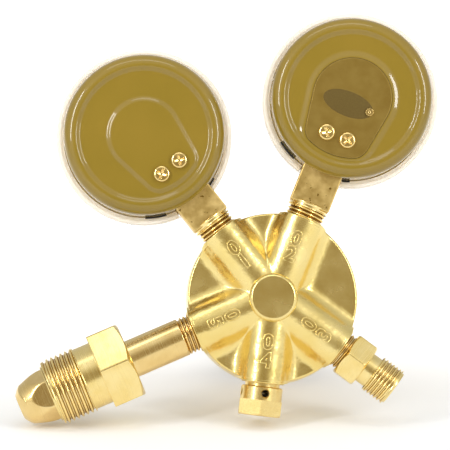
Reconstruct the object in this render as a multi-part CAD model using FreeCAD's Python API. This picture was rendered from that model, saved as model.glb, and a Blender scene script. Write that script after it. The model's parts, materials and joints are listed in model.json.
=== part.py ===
"""Two-gauge cylinder gas regulator, built as a bench assembly. All sizes are in millimetres.

Frame: +Z is up, the dials and the adjusting knob face -Y, and the origin is the centre of the flat
face on the boss at the back of the body. Depths are counted forwards from that face, along -Y.
Each port leaves the body square to the Y axis. Its angle is counted clockwise from straight up, as
seen from the back, and distances along a port are counted outwards from the Y axis.
"""

import FreeCAD
import Part
import math
import os
from FreeCAD import Vector

# How the set stands: leaning on its inlet, which turns the whole body this far about Y
standing_roll = 6.6

# Port layout, clockwise from up as seen from the back, before the standing roll
high_gauge_port = 315.0
low_gauge_port = 15.0
outlet_port = 120.0
relief_port = 180.0
inlet_port = 240.0

# Forged body
body_rear_radius = 30.7
body_front_radius = 31.2
body_rear_depth = 9.5
body_rim_end = 21.5
body_front_depth = 29.0
rim_chamfer = 0.8
boss_radius = 8.7
boss_round = 1.0
port_plane = 11.2
port_face = 30.9
spot_face_radius = 9.5
arm_radius = 9.3
arm_end_radius = 31.4
arm_half_width = 12.0
arm_fillet = 8.0
arm_skirt = 3.0
chamber_radius = 21.0
chamber_depth = 3.0
passage_radius = 1.6

# Taper-thread joints between the body and the fittings, drawn as plain cylinders
port_thread_radius = 6.85
port_thread_depth = 12.0
thread_engagement = 11.0

# Valve inside the body
nozzle_radius = 6.0
nozzle_length = 7.0
nozzle_bore = 2.2
nozzle_lip_height = 0.6
nozzle_lip_wall = 1.0
nozzle_recess = 0.5
valve_chamber_radius = 5.0
valve_chamber_end = 5.0
valve_gap = 0.3
poppet_radius = 4.2
poppet_length = 6.6
seat_radius = 3.3
seat_thickness = 1.2
valve_pin_radius = 1.0
valve_lift = 0.8

# Diaphragm pack and bonnet
bonnet_thread_radius = 27.5
diaphragm_radius = 26.0
diaphragm_thickness = 1.2
diaphragm_hole = 3.4
slip_ring_thickness = 0.8
post_radius = 3.0
post_flange_radius = 6.0
post_flange_thickness = 1.4
plate_radius = 13.5
plate_thickness = 1.8
plate_hub_radius = 6.2
plate_hub_height = 1.6
bonnet_radius = 30.2
bonnet_gap = 0.3
bonnet_skirt_end = 34.5
bonnet_tower_radius = 17.0
bonnet_tower_start = 43.0
bonnet_tower_end = 71.0
bonnet_neck_radius = 11.0
bonnet_neck_length = 6.0
bonnet_wall = 2.6
bonnet_roof = 5.0
bonnet_shoulder_width = 6.0
bonnet_flat_count = 6
bonnet_flat_cut = 1.6
bonnet_vent_radius = 1.8
bonnet_vent_depth = 52.0

# Range spring, its button, and the adjusting screw with its knob
range_spring_radius = 9.4
range_wire_radius = 1.4
range_spring_turns = 6.5
button_radius = 12.6
button_thickness = 3.0
button_depth = 60.0
button_hub_radius = 5.0
button_hub_height = 2.4
button_cup_radius = 2.6
button_cup_depth = 1.2
screw_radius = 5.92
screw_hole_radius = 6.0
screw_tip_radius = 2.2
screw_tip_length = 2.6
screw_pitch = 1.5
screw_turns = 5.0
knob_radius = 23.0
knob_skirt_bore = 19.0
knob_start_depth = 68.5
knob_end_depth = 101.0
knob_roof = 5.5
knob_hub_radius = 9.0
knob_flute_count = 12
knob_flute_radius = 4.0
knob_flute_cut = 1.5
knob_round = 2.5
knob_cap_radius = 11.0
knob_cap_thickness = 1.2
running_gap = 0.3

# Inlet nipple and its nut
nipple_radius = 6.95
nipple_thread_end = 35.6
nipple_nose_radius = 9.6
nipple_nose_straight = 7.2
nipple_shoulder_radius = 7.5
nipple_shoulder_reach = 15.4
nipple_tip_radius = 4.4
nipple_tip_reach = 18.3
nipple_bore = 2.5
nipple_wrench_flats = 16.9
nipple_flats_reach = 5.6
filter_radius = 3.2
filter_length = 18.0
filter_recess = 2.0
nut_start = 55.5
nut_hex_flats = 27.2
nut_hex_length = 12.0
nut_collar_radius = 11.6
nut_collar_length = 6.4
nut_thread_radius = 12.255
nut_thread_length = 12.5
nut_clearance = 0.25
nut_end_chamfer = 0.7
nut_seat_gap = 0.3
nut_seat_depth = 25.5

# Hose outlet
outlet_hex_start = 33.2
outlet_hex_flats = 16.0
outlet_hex_length = 8.4
outlet_neck_radius = 5.9
outlet_neck_length = 4.3
outlet_thread_radius = 7.145
outlet_thread_length = 8.0
outlet_end_chamfer = 0.6
outlet_bore = 3.0
outlet_cone_radius = 5.3
outlet_cone_depth = 3.6

# Relief valve
relief_neck_radius = 6.3
relief_neck_length = 1.2
relief_band_radius = 7.55
relief_band_length = 5.0
relief_hex_flats = 15.1
relief_hex_length = 5.7
relief_inlet_radius = 1.5
relief_bore = 4.6
relief_seat_distance = 29.6
relief_seat_gap = 0.1
relief_vent_radius = 1.35
relief_vent_sink = 1.8
relief_vent_count = 4
relief_vent_turn = 80.0
relief_disc_radius = 3.6
relief_disc_thickness = 2.2
relief_lift = 1.0
relief_spring_radius = 3.0
relief_wire_radius = 0.45
relief_spring_turns = 5.0
relief_plug_thickness = 2.4
relief_plug_recess = 0.8
relief_slot_width = 1.2
relief_slot_depth = 1.1
valve_spring_radius = 2.9
valve_wire_radius = 0.4
valve_spring_turns = 5.0

# Gauge sizes, the same on both gauges. Depths in a gauge count forwards from the rear edge of its case
high_gauge_reach = 74.8
low_gauge_reach = 77.5
case_radius = 29.0
case_depth = 25.0
case_wall = 0.8
case_axis_depth = 11.4
case_corner = 3.8
case_recess = 1.0
case_recess_radius = 23.4
case_slope = 1.2
case_lip_radius = 30.4
case_lip_length = 1.6
high_pad_radius = 12.9
high_pad_foot = 21.4
low_pad_radius = 15.3
low_pad_foot = 22.9
pad_height = 0.75
pad_draft = 2.2
pad_corner = 2.2
pad_side_angle = 9.0
back_film_radius = 14.2
back_film_foot = 21.9
back_film_thickness = 0.25
gauge_screw_spread = 4.0
gauge_screw_offset = 15.2
gauge_screw_head = 3.2
gauge_screw_head_height = 1.7
gauge_screw_shank = 1.4
gauge_screw_length = 5.0
gauge_screw_slot = 0.7
socket_width = 14.3
socket_thickness = 11.5
socket_start = 35.7
socket_top_offset = 13.5
socket_bore = 1.3
socket_blind_wall = 4.0
tube_mean_radius = 20.8
tube_width = 2.6
tube_depth = 7.0
tube_wall = 0.45
tube_sweep = 246.0
tip_length = 4.0
tip_ear_radius = 1.2
tip_ear_thickness = 1.2
tip_ear_reach = 1.6
tip_clearance = 0.2
link_pin_radius = 0.5
lens_radius = 31.8
lens_skirt_start = 13.0
lens_window = 2.2
lens_round = 1.4
lens_notch_gap = 0.8
dial_radius = 27.2
dial_thickness = 0.5
dial_depth = 19.4
dial_hole = 1.6
plate_back_depth = 11.2
plate_front_depth = 16.0
plate_sheet = 1.0
plate_end_radius = 3.6
pillar_radius = 0.9
gear_module = 0.3
pinion_tooth_count = 10
full_gear_tooth_count = 80
sector_tooth_count = 11
gear_thickness = 1.0
gear_overhang = 0.3
gear_backlash = 0.07
sector_direction = 318.0
sector_tail = 6.0
sector_tail_middle = -20.0
sector_tail_radius = 1.0
sector_hub_radius = 1.6
arbor_radius = 0.7
pivot_hole_gap = 0.05
link_thickness = 0.5
link_end_radius = 1.2
link_sector_gap = 0.25
link_hole_gap = 0.03
link_slack = 0.34
pointer_sweep = 270.0
pointer_start = 225.0
pointer_length = 20.5
pointer_tail = 7.0
pointer_width = 2.0
pointer_tip_width = 0.6
pointer_thickness = 0.5
pointer_depth = 21.2
pointer_hub_radius = 2.6
pointer_hub_height = 1.6

port_angles = {
    "high": high_gauge_port + standing_roll,
    "low": low_gauge_port + standing_roll,
    "outlet": outlet_port + standing_roll,
    "relief": relief_port + standing_roll,
    "inlet": inlet_port + standing_roll,
}
screw_travel = screw_pitch * screw_turns
gear_distance = gear_module * (pinion_tooth_count + full_gear_tooth_count) / 2
half_sector_sweep = pointer_sweep * pinion_tooth_count / full_gear_tooth_count / 2
thread_start = port_face - thread_engagement
nipple_nose_start = nut_start + nut_seat_depth
nipple_flats_start = nipple_nose_start + nipple_flats_reach
nipple_shoulder_end = nipple_nose_start + nipple_shoulder_reach
nipple_tip_end = nipple_nose_start + nipple_tip_reach

origin = Vector(0, 0, 0)
x_axis = Vector(1, 0, 0)
y_axis = Vector(0, 1, 0)
z_axis = Vector(0, 0, 1)


# Drawing helpers


def wire_in(plane, points):
    """Closed wire through 2-D points. A step of three values, "arc", middle, end, is a round stretch."""
    def spot(pair):
        if plane == "xz":
            return Vector(pair[0], 0, pair[1])
        return Vector(pair[0], pair[1], 0)

    edges = []
    here = spot(points[0])
    for step in points[1:] + [points[0]]:
        if step[0] == "arc":
            end = spot(step[2])
            edges.append(Part.Arc(here, spot(step[1]), end).toShape())
        else:
            end = spot(step)
            if end.distanceToPoint(here) < 1e-7:
                continue
            edges.append(Part.LineSegment(here, end).toShape())
        here = end
    return Part.Wire(edges)


def turned(points):
    """Solid of revolution about Z. Points are (radius, height)."""
    return Part.Face(wire_in("xz", points)).revolve(origin, z_axis, 360)


def slab(points, start, height):
    """Flat outline in XY, extruded along Z from start."""
    face = Part.Face(wire_in("xy", points))
    face.translate(z_axis * start)
    return face.extrude(z_axis * height)


def rod(radius, start, end):
    return Part.makeCylinder(radius, end - start, z_axis * start)


def tube(outer, inner, start, end):
    return rod(outer, start, end).cut(rod(inner, start, end))


def block(x_size, y_size, z_start, z_end, y_middle=0.0):
    corner = Vector(-x_size / 2, y_middle - y_size / 2, z_start)
    return Part.makeBox(x_size, y_size, z_end - z_start, corner)


def polar(radius, degrees):
    turn = math.radians(degrees)
    return radius * math.cos(turn), radius * math.sin(turn)


def hexagon(flats, start, end):
    """Hexagonal bar with two flats facing along X."""
    corners = [polar(flats / math.sqrt(3), 30 + 60 * k) for k in range(6)]
    return slab(corners, start, end - start)


def chamfered_hexagon(flats, start, end, front=True, back=True):
    """Hexagonal bar whose corners are turned off at 30 degrees, as on a nut."""
    corner = flats / math.sqrt(3) * 1.01
    low = flats / 2 * 0.96
    fall = (corner - low) * math.tan(math.radians(30))
    envelope = turned([
        (0, start), (low if back else corner, start), (corner, start + (fall if back else 0)),
        (corner, end - (fall if front else 0)), (low if front else corner, end), (0, end),
    ])
    return hexagon(flats, start, end).common(envelope)


def capsule(first, second, radius):
    """Outline of a bar with round ends about two points in XY."""
    along = math.atan2(second[1] - first[1], second[0] - first[0])
    side = (-math.sin(along) * radius, math.cos(along) * radius)
    ahead = (math.cos(along) * radius, math.sin(along) * radius)
    return [
        (first[0] - side[0], first[1] - side[1]),
        (second[0] - side[0], second[1] - side[1]),
        ("arc", (second[0] + ahead[0], second[1] + ahead[1]), (second[0] + side[0], second[1] + side[1])),
        (first[0] + side[0], first[1] + side[1]),
        ("arc", (first[0] - ahead[0], first[1] - ahead[1]), (first[0] - side[0], first[1] - side[1])),
    ]


def coil_spring(mean_radius, wire_radius, start, end, turns):
    """Compression spring with a closed turn at each end, lofted through hexagonal wire sections."""
    stations_per_turn = 12
    first = start + wire_radius
    last = end - wire_radius
    closed_pitch = wire_radius * 2.1
    open_pitch = (last - first - 2 * closed_pitch) / (turns - 2)
    sections = []
    for station in range(int(turns * stations_per_turn) + 1):
        done = station / stations_per_turn
        height = first + closed_pitch * min(done, 1)
        height += open_pitch * max(0, min(done, turns - 1) - 1)
        height += closed_pitch * max(0, done - (turns - 1))
        turn = 2 * math.pi * done
        corners = []
        for k in range(6):
            away = math.pi / 3 * k + math.pi / 6
            reach = mean_radius + wire_radius * math.cos(away)
            corners.append(Vector(reach * math.cos(turn), reach * math.sin(turn),
                                  height + wire_radius * math.sin(away)))
        sections.append(Part.makePolygon(corners + corners[:1]))
    return Part.makeLoft(sections, True, True)


def gear_outline(teeth, first_tooth, cut_teeth):
    """Points of involute teeth about the origin. Tooth k is centred at first_tooth + k tooth angles."""
    pressure = math.radians(20)
    pitch_radius = gear_module * teeth / 2
    base_radius = pitch_radius * math.cos(pressure)
    tip_radius = pitch_radius + 0.8 * gear_module
    root_radius = pitch_radius - 1.15 * gear_module

    def half_angle(radius):
        lean = math.acos(min(1.0, base_radius / max(radius, base_radius)))
        rise = math.tan(pressure) - pressure - (math.tan(lean) - lean)
        return math.pi / (2 * teeth) - gear_backlash / (2 * pitch_radius) + rise

    radii = [root_radius, max(base_radius, root_radius + 0.1 * gear_module), pitch_radius, tip_radius]
    points = []
    for k in range(cut_teeth):
        centre = math.radians(first_tooth) + k * 2 * math.pi / teeth
        flank = [(r, half_angle(r)) for r in radii]
        points += [polar(r, math.degrees(centre - half)) for r, half in flank]
        points += [polar(r, math.degrees(centre + half)) for r, half in reversed(flank)]
    return points


# Placing helpers


def forward(shape):
    """Turns a shape drawn along +Z so that its height becomes depth, towards -Y."""
    shape.rotate(origin, x_axis, 90)
    return shape


def at_port(shape, port):
    """Carries a shape drawn along +Z, with its back towards +Y, to a port of the body."""
    shape.translate(y_axis * -port_plane)
    shape.rotate(origin, y_axis, -port_angles[port])
    return shape


def in_gauge(shape, port, reach):
    """Carries a shape drawn as a dial is seen, x right, y up and z forwards, to a gauge."""
    forward(shape)
    shape.translate(Vector(0, case_axis_depth, reach))
    return at_port(shape, port)


# Body


def arm_section():
    """End view of one port arm: a round crest whose concave fillets are cut off by the body's flat back."""
    face_height = port_plane - body_rear_depth
    floor = face_height - arm_skirt
    foot = Vector(arm_half_width, face_height, 0)
    centre_reach = arm_radius + arm_fillet
    share = (centre_reach ** 2 + foot.Length ** 2 - arm_fillet ** 2) / (2 * centre_reach * foot.Length)
    turn = math.atan2(face_height, arm_half_width) + math.acos(share)
    outwards = Vector(math.cos(turn), math.sin(turn), 0)
    centre = outwards * centre_reach
    meet = outwards * arm_radius
    half_way = (meet + foot) * 0.5 - centre
    middle = centre + half_way * (arm_fillet / half_way.Length)
    return [
        (-arm_half_width, floor), (-arm_half_width, face_height),
        ("arc", (-middle.x, middle.y), (-meet.x, meet.y)),
        ("arc", (0, arm_radius), (meet.x, meet.y)),
        ("arc", (middle.x, middle.y), (arm_half_width, face_height)),
        (arm_half_width, floor),
    ]


def port_arm():
    """One arm, drawn along +Z from the body axis to its port face, with its end turned round the body."""
    def turned_end(shape, radius):
        return shape.common(
            Part.makeCylinder(radius, 4 * port_plane, y_axis * -2 * port_plane, y_axis))

    web = turned_end(slab(arm_section(), 0, port_face), body_rear_radius)
    return web.fuse(turned_end(rod(arm_radius, 0, port_face), arm_end_radius))


def body_forging():
    rim = turned([
        (0, body_rear_depth), (body_rear_radius - rim_chamfer, body_rear_depth),
        (body_rear_radius, body_rear_depth + rim_chamfer), (body_front_radius, body_rim_end),
        (bonnet_thread_radius, body_rim_end), (bonnet_thread_radius, body_front_depth),
        (0, body_front_depth),
    ])
    bend = boss_round * (1 - math.sqrt(0.5))
    boss = turned([
        (0, 0), (boss_radius - boss_round, 0),
        ("arc", (boss_radius - bend, bend), (boss_radius, boss_round)),
        (boss_radius, port_plane), (0, port_plane),
    ])
    body = forward(rim.fuse(boss))
    body = body.multiFuse([at_port(port_arm(), port) for port in port_angles]).removeSplitter()
    nozzle_seat = body_front_depth - chamber_depth - nozzle_recess - nozzle_length
    tools = [
        forward(rod(chamber_radius, body_front_depth - chamber_depth, body_front_depth)),
        forward(rod(nozzle_radius, nozzle_seat, body_front_depth)),
        forward(rod(valve_chamber_radius, valve_chamber_end, nozzle_seat)),
    ]
    drill_end = port_face - port_thread_depth
    for port in port_angles:
        tools.append(at_port(rod(port_thread_radius, drill_end, port_face), port))
        tools.append(at_port(rod(spot_face_radius, port_face, body_front_radius + 1), port))
        if port in ("high", "inlet"):
            tools.append(at_port(rod(passage_radius, 0, drill_end), port))
        else:
            drop = Part.makeCylinder(
                passage_radius, body_front_depth - chamber_depth - port_plane,
                Vector(0, 0, chamber_radius - passage_radius - running_gap), y_axis * -1)
            tools.append(at_port(drop, port))
    return body.cut(tools)


# Valve, diaphragm and bonnet


def nozzle_start():
    return body_front_depth - chamber_depth - nozzle_recess - nozzle_length


def valve_nozzle():
    start = nozzle_start()
    seat_lip = nozzle_bore + nozzle_lip_wall
    return forward(turned([
        (nozzle_bore, start - nozzle_lip_height), (seat_lip, start - nozzle_lip_height),
        (seat_lip, start), (nozzle_radius, start),
        (nozzle_radius, start + nozzle_length), (nozzle_bore, start + nozzle_length),
    ]))


def poppet_face():
    return nozzle_start() - nozzle_lip_height - valve_gap


def valve_poppet():
    """Brass carrier with a pocket for the soft seat and a pin that reaches to the diaphragm post."""
    face = poppet_face()
    pin_end = post_flange_start() - 0.05
    return forward(turned([
        (0, face - poppet_length), (poppet_radius, face - poppet_length), (poppet_radius, face),
        (seat_radius, face), (seat_radius, face - seat_thickness),
        (valve_pin_radius, face - seat_thickness), (valve_pin_radius, pin_end), (0, pin_end),
    ]))


def valve_seat():
    face = poppet_face()
    return forward(tube(seat_radius, valve_pin_radius, face - seat_thickness, face))


def valve_spring():
    return forward(coil_spring(valve_spring_radius, valve_wire_radius, valve_chamber_end,
                               poppet_face() - poppet_length, valve_spring_turns))


def post_flange_start():
    return body_front_depth - running_gap - post_flange_thickness


def plate_start():
    return body_front_depth + diaphragm_thickness + running_gap


def diaphragm_post():
    """Rivet through the diaphragm: its flange behind bears on the valve pin, its shank holds the plate."""
    start = post_flange_start()
    return forward(turned([
        (0, start), (post_flange_radius, start), (post_flange_radius, start + post_flange_thickness),
        (post_radius, start + post_flange_thickness), (post_radius, plate_start() + plate_thickness),
        (0, plate_start() + plate_thickness),
    ]))


def diaphragm_plate():
    start = plate_start()
    top = start + plate_thickness
    return forward(turned([
        (post_radius, start), (plate_radius, start), (plate_radius, top),
        (plate_hub_radius, top), (plate_hub_radius, top + plate_hub_height),
        (post_radius, top + plate_hub_height),
    ]))


def diaphragm():
    return forward(tube(diaphragm_radius, diaphragm_hole, body_front_depth,
                        body_front_depth + diaphragm_thickness))


def bonnet_seat():
    return body_front_depth + diaphragm_thickness + slip_ring_thickness


def slip_ring():
    return forward(tube(diaphragm_radius, chamber_radius, bonnet_seat() - slip_ring_thickness,
                        bonnet_seat()))


def bonnet():
    """Spring housing: a skirt with wrench flats that screws over the body, and a tower for the spring."""
    skirt_start = body_rim_end + bonnet_gap
    roof_end = bonnet_tower_end
    neck_end = roof_end + bonnet_neck_length
    inner_tower = bonnet_tower_radius - bonnet_wall
    shoulder_radius = chamber_radius
    knee = bonnet_skirt_end + 2.0
    shell = turned([
        (bonnet_thread_radius, skirt_start), (bonnet_radius, skirt_start),
        (bonnet_radius, bonnet_skirt_end - 1.0),
        ("arc", (bonnet_radius - 0.35, bonnet_skirt_end - 0.25), (bonnet_radius - 1.2, bonnet_skirt_end)),
        (bonnet_tower_radius + bonnet_shoulder_width, knee),
        ("arc", (bonnet_tower_radius + 1.9, knee + 1.9), (bonnet_tower_radius, bonnet_tower_start)),
        (bonnet_tower_radius - 0.6, roof_end - 1.5),
        ("arc", (bonnet_tower_radius - 1.1, roof_end - 0.45), (bonnet_tower_radius - 2.2, roof_end)),
        (bonnet_neck_radius, roof_end), (bonnet_neck_radius, neck_end - 0.8),
        (bonnet_neck_radius - 0.8, neck_end), (screw_hole_radius, neck_end),
        (screw_hole_radius, roof_end - bonnet_roof), (inner_tower, roof_end - bonnet_roof),
        (inner_tower, bonnet_tower_start + 1.0), (shoulder_radius, bonnet_skirt_end - 0.6),
        (shoulder_radius, bonnet_seat()), (bonnet_thread_radius, bonnet_seat()),
    ])
    tools = []
    flat_distance = bonnet_radius - bonnet_flat_cut
    for k in range(bonnet_flat_count):
        tool = Part.makeBox(2 * bonnet_flat_cut, 2 * bonnet_radius, bonnet_skirt_end - skirt_start,
                            Vector(flat_distance, -bonnet_radius, skirt_start + 3.0))
        tool.rotate(origin, z_axis, 360 / bonnet_flat_count * k)
        tools.append(tool)
    tools.append(Part.makeCylinder(bonnet_vent_radius, 3 * bonnet_tower_radius,
                                   Vector(-1.5 * bonnet_tower_radius, 0, bonnet_vent_depth), x_axis))
    return forward(shell.cut(tools))


# Range spring, button, screw and knob


def range_spring():
    return forward(coil_spring(range_spring_radius, range_wire_radius,
                               plate_start() + plate_thickness, button_depth, range_spring_turns))


def spring_button():
    front = button_depth + button_thickness
    return forward(turned([
        (0, button_depth - button_hub_height), (button_hub_radius, button_depth - button_hub_height),
        (button_hub_radius + 0.6, button_depth), (button_radius, button_depth),
        (button_radius, front - 0.8), (button_radius - 0.8, front),
        (button_cup_radius, front), (button_cup_radius - 0.6, front - button_cup_depth),
        (0, front - button_cup_depth),
    ]))


def adjusting_screw():
    """Screw whose ground tip turns in the cup of the button. Its shank is held in the knob."""
    tip = button_depth + button_thickness - button_cup_depth + 0.15
    shank = tip + screw_tip_length
    end = knob_end_depth - knob_cap_thickness
    return forward(turned([
        (0, tip), (screw_tip_radius - 0.4, tip), (screw_tip_radius - 0.2, shank - 1.0),
        (screw_radius, shank + 0.6), (screw_radius, end), (0, end),
    ]))


def knob():
    """Fluted cap with a skirt that runs down over the tower of the bonnet as the screw goes in."""
    start = knob_start_depth
    cap_floor = knob_end_depth - knob_cap_thickness
    roof = knob_end_depth - knob_roof
    hub_start = bonnet_tower_end + bonnet_neck_length + screw_travel + running_gap
    bend = knob_round * (1 - math.sqrt(0.5))
    shell = turned([
        (knob_skirt_bore, start), (knob_radius - 0.8, start), (knob_radius, start + 0.8),
        (knob_radius - 0.5, knob_end_depth - knob_round),
        ("arc", (knob_radius - 0.5 - bend, knob_end_depth - bend),
         (knob_radius - 0.5 - knob_round, knob_end_depth)),
        (knob_cap_radius, knob_end_depth), (knob_cap_radius, cap_floor), (screw_radius, cap_floor),
        (screw_radius, hub_start), (knob_hub_radius, hub_start), (knob_hub_radius, roof),
        (knob_skirt_bore, roof),
    ])
    tools = []
    flute_axis = knob_radius + knob_flute_radius - knob_flute_cut
    for k in range(knob_flute_count):
        tool = rod(knob_flute_radius, start - 1.0, knob_end_depth + 1.0)
        tool.translate(Vector(*polar(flute_axis, 360 / knob_flute_count * k), 0))
        tools.append(tool)
    return forward(shell.cut(tools))


def knob_cap():
    return forward(turned([
        (0, knob_end_depth - knob_cap_thickness), (knob_cap_radius, knob_end_depth - knob_cap_thickness),
        (knob_cap_radius, knob_end_depth - 0.3), (knob_cap_radius - 0.4, knob_end_depth),
        (0, knob_end_depth + 0.4),
    ]))


# Inlet


def inlet_nipple():
    """Stem with a taper thread at the body, and a bullet nose with six wrench flats."""
    nose_end = nipple_nose_start + nipple_nose_straight
    solid = turned([
        (0, thread_start), (port_thread_radius, thread_start), (port_thread_radius, nipple_thread_end),
        (nipple_radius, nipple_thread_end), (nipple_radius, nipple_nose_start),
        (nipple_nose_radius, nipple_nose_start), (nipple_nose_radius, nose_end),
        ("arc", ((nipple_nose_radius + nipple_shoulder_radius) / 2 + 0.35,
                 (nose_end + nipple_shoulder_end) / 2), (nipple_shoulder_radius, nipple_shoulder_end)),
        ("arc", ((nipple_shoulder_radius + nipple_tip_radius) / 2 + 0.55,
                 (nipple_shoulder_end + nipple_tip_end) / 2 + 0.5), (nipple_tip_radius, nipple_tip_end)),
        (0, nipple_tip_end),
    ])
    keep = rod(nipple_nose_radius + 1, thread_start - 1, nipple_flats_start)
    keep = keep.fuse(hexagon(nipple_wrench_flats, nipple_flats_start, nipple_tip_end + 1))
    solid = solid.common(keep)
    pocket = rod(filter_radius, nipple_tip_end - filter_recess - filter_length, nipple_tip_end)
    return at_port(solid.cut([rod(nipple_bore, thread_start, nipple_tip_end), pocket]), "inlet")


def inlet_filter():
    """Sintered thimble in the nose: a closed end towards the body and a hollow towards the cylinder."""
    end = nipple_tip_end - filter_recess
    return at_port(rod(filter_radius, end - filter_length, end).cut(
        rod(filter_radius - 1.2, end - filter_length + 1.5, end)), "inlet")


def nut_end():
    return nut_start + nut_hex_length + nut_collar_length + nut_thread_length


def inlet_nut():
    hex_end = nut_start + nut_hex_length
    collar_end = hex_end + nut_collar_length
    end = nut_end()
    barrel = turned([
        (0, hex_end), (nut_collar_radius, hex_end), (nut_collar_radius, collar_end),
        (nut_thread_radius, collar_end), (nut_thread_radius, end - nut_end_chamfer),
        (nut_thread_radius - nut_end_chamfer, end), (0, end),
    ])
    solid = chamfered_hexagon(nut_hex_flats, nut_start, hex_end, front=False).fuse(barrel)
    bore = rod(nipple_radius + nut_clearance, nut_start, end)
    seat = rod(nipple_nose_radius + nut_clearance, nipple_nose_start - nut_seat_gap, end)
    return at_port(solid.cut([bore, seat]), "inlet")


# Outlet


def outlet_end():
    return outlet_hex_start + outlet_hex_length + outlet_neck_length + outlet_thread_length


def outlet_fitting():
    hex_end = outlet_hex_start + outlet_hex_length
    neck_end = hex_end + outlet_neck_length
    end = outlet_end()
    stub = rod(port_thread_radius, thread_start, outlet_hex_start)
    tail = turned([
        (0, hex_end), (outlet_neck_radius, hex_end), (outlet_neck_radius, neck_end),
        (outlet_thread_radius - 0.5, neck_end), (outlet_thread_radius, neck_end + 0.5),
        (outlet_thread_radius, end - outlet_end_chamfer),
        (outlet_thread_radius - outlet_end_chamfer, end), (0, end),
    ])
    solid = chamfered_hexagon(outlet_hex_flats, outlet_hex_start, hex_end).fuse([stub, tail])
    bore = turned([
        (0, thread_start), (outlet_bore, thread_start), (outlet_bore, end - outlet_cone_depth),
        (outlet_cone_radius, end), (0, end),
    ])
    return at_port(solid.cut(bore), "outlet")


# Relief valve


def relief_end():
    return port_face + relief_neck_length + relief_band_length + relief_hex_length


def relief_housing():
    """Threaded stub, a round band with vent holes, and a hexagon that ends the valve."""
    band_start = port_face + relief_neck_length
    band_end = band_start + relief_band_length
    end = relief_end()
    turned_part = turned([
        (0, thread_start), (port_thread_radius, thread_start), (port_thread_radius, port_face),
        (relief_neck_radius, port_face), (relief_neck_radius, band_start),
        (relief_band_radius - 0.4, band_start), (relief_band_radius, band_start + 0.4),
        (relief_band_radius, band_end), (0, band_end),
    ])
    solid = chamfered_hexagon(relief_hex_flats, band_end, end, back=False).fuse(turned_part)
    tools = [rod(relief_inlet_radius, thread_start, end), rod(relief_bore, relief_seat_distance, end)]
    vent_height = (band_start + band_end) / 2
    for k in range(relief_vent_count):
        sink = relief_vent_sink - relief_vent_radius
        vent = turned([
            (0, 0), (relief_vent_radius, 0), (relief_vent_radius, relief_band_radius - sink),
            (relief_vent_sink + sink, relief_band_radius + sink), (0, relief_band_radius + sink),
        ])
        vent.rotate(origin, y_axis, 90)
        vent.rotate(origin, z_axis, relief_vent_turn + 360 / relief_vent_count * k)
        vent.translate(z_axis * vent_height)
        tools.append(vent)
    return at_port(solid.cut(tools), "relief")


def relief_disc():
    start = relief_seat_distance + relief_seat_gap
    top = start + relief_disc_thickness
    return at_port(turned([
        (0, start), (relief_disc_radius, start), (relief_disc_radius, top),
        (relief_spring_radius - relief_wire_radius - 0.3, top),
        (relief_spring_radius - relief_wire_radius - 0.3, top + 1.2), (0, top + 1.2),
    ]), "relief")


def relief_plug_start():
    return relief_end() - relief_plug_recess - relief_plug_thickness


def relief_spring():
    start = relief_seat_distance + relief_seat_gap + relief_disc_thickness
    return at_port(coil_spring(relief_spring_radius, relief_wire_radius, start, relief_plug_start(),
                               relief_spring_turns), "relief")


def relief_plug():
    end = relief_plug_start() + relief_plug_thickness
    solid = rod(relief_bore, relief_plug_start(), end)
    slot = block(relief_slot_width, 3 * relief_bore, end - relief_slot_depth, end)
    return at_port(solid.cut([slot, rod(relief_slot_width * 0.8, relief_plug_start(), end)]), "relief")


# Gauges


def case_inner_back():
    """Depth of the inside of the back of the case, where the socket's pad bears."""
    return case_recess + case_wall


def pad_outline(radius, foot, corner):
    """Round above, with sides that close in towards the stem and a round foot with round corners."""
    lean = math.radians(pad_side_angle)
    side = (math.cos(lean), -math.sin(lean))
    down = (-math.sin(lean), -math.cos(lean))
    # the corner's centre lies its own radius inside both the side and the foot circle
    run = math.sqrt((foot - corner) ** 2 - (radius - corner) ** 2)
    middle = [(radius - corner) * side[k] + run * down[k] for k in (0, 1)]
    away = [middle[k] / (foot - corner) for k in (0, 1)]
    between = math.hypot(side[0] + away[0], side[1] + away[1])
    leave = (middle[0] + corner * side[0], middle[1] + corner * side[1])
    bend = [middle[k] + corner * (side[k] + away[k]) / between for k in (0, 1)]
    meet = (foot * away[0], foot * away[1])
    top = (radius * side[0], radius * side[1])
    return [
        (-top[0], top[1]),
        ("arc", (0, radius), top),
        leave,
        ("arc", bend, meet),
        ("arc", (0, -foot), (-meet[0], meet[1])),
        ("arc", (-bend[0], bend[1]), (-leave[0], leave[1])),
    ]


def raised_pad(radius, foot):
    """Pad with sloping edges, drawn backwards from the recess of the case."""
    half = pad_draft / 2
    low = wire_in("xy", pad_outline(radius + half, foot + half, pad_corner + half))
    high = wire_in("xy", pad_outline(radius - half, foot - half, pad_corner - half))
    low.translate(z_axis * (case_recess + case_wall / 2))
    high.translate(z_axis * pad_surface())
    return Part.makeLoft([low, high], True, True)


def gauge_screw_spots():
    return [(-gauge_screw_spread, -gauge_screw_offset), (gauge_screw_spread, -gauge_screw_offset)]


def pad_surface():
    return case_recess - pad_height


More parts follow.
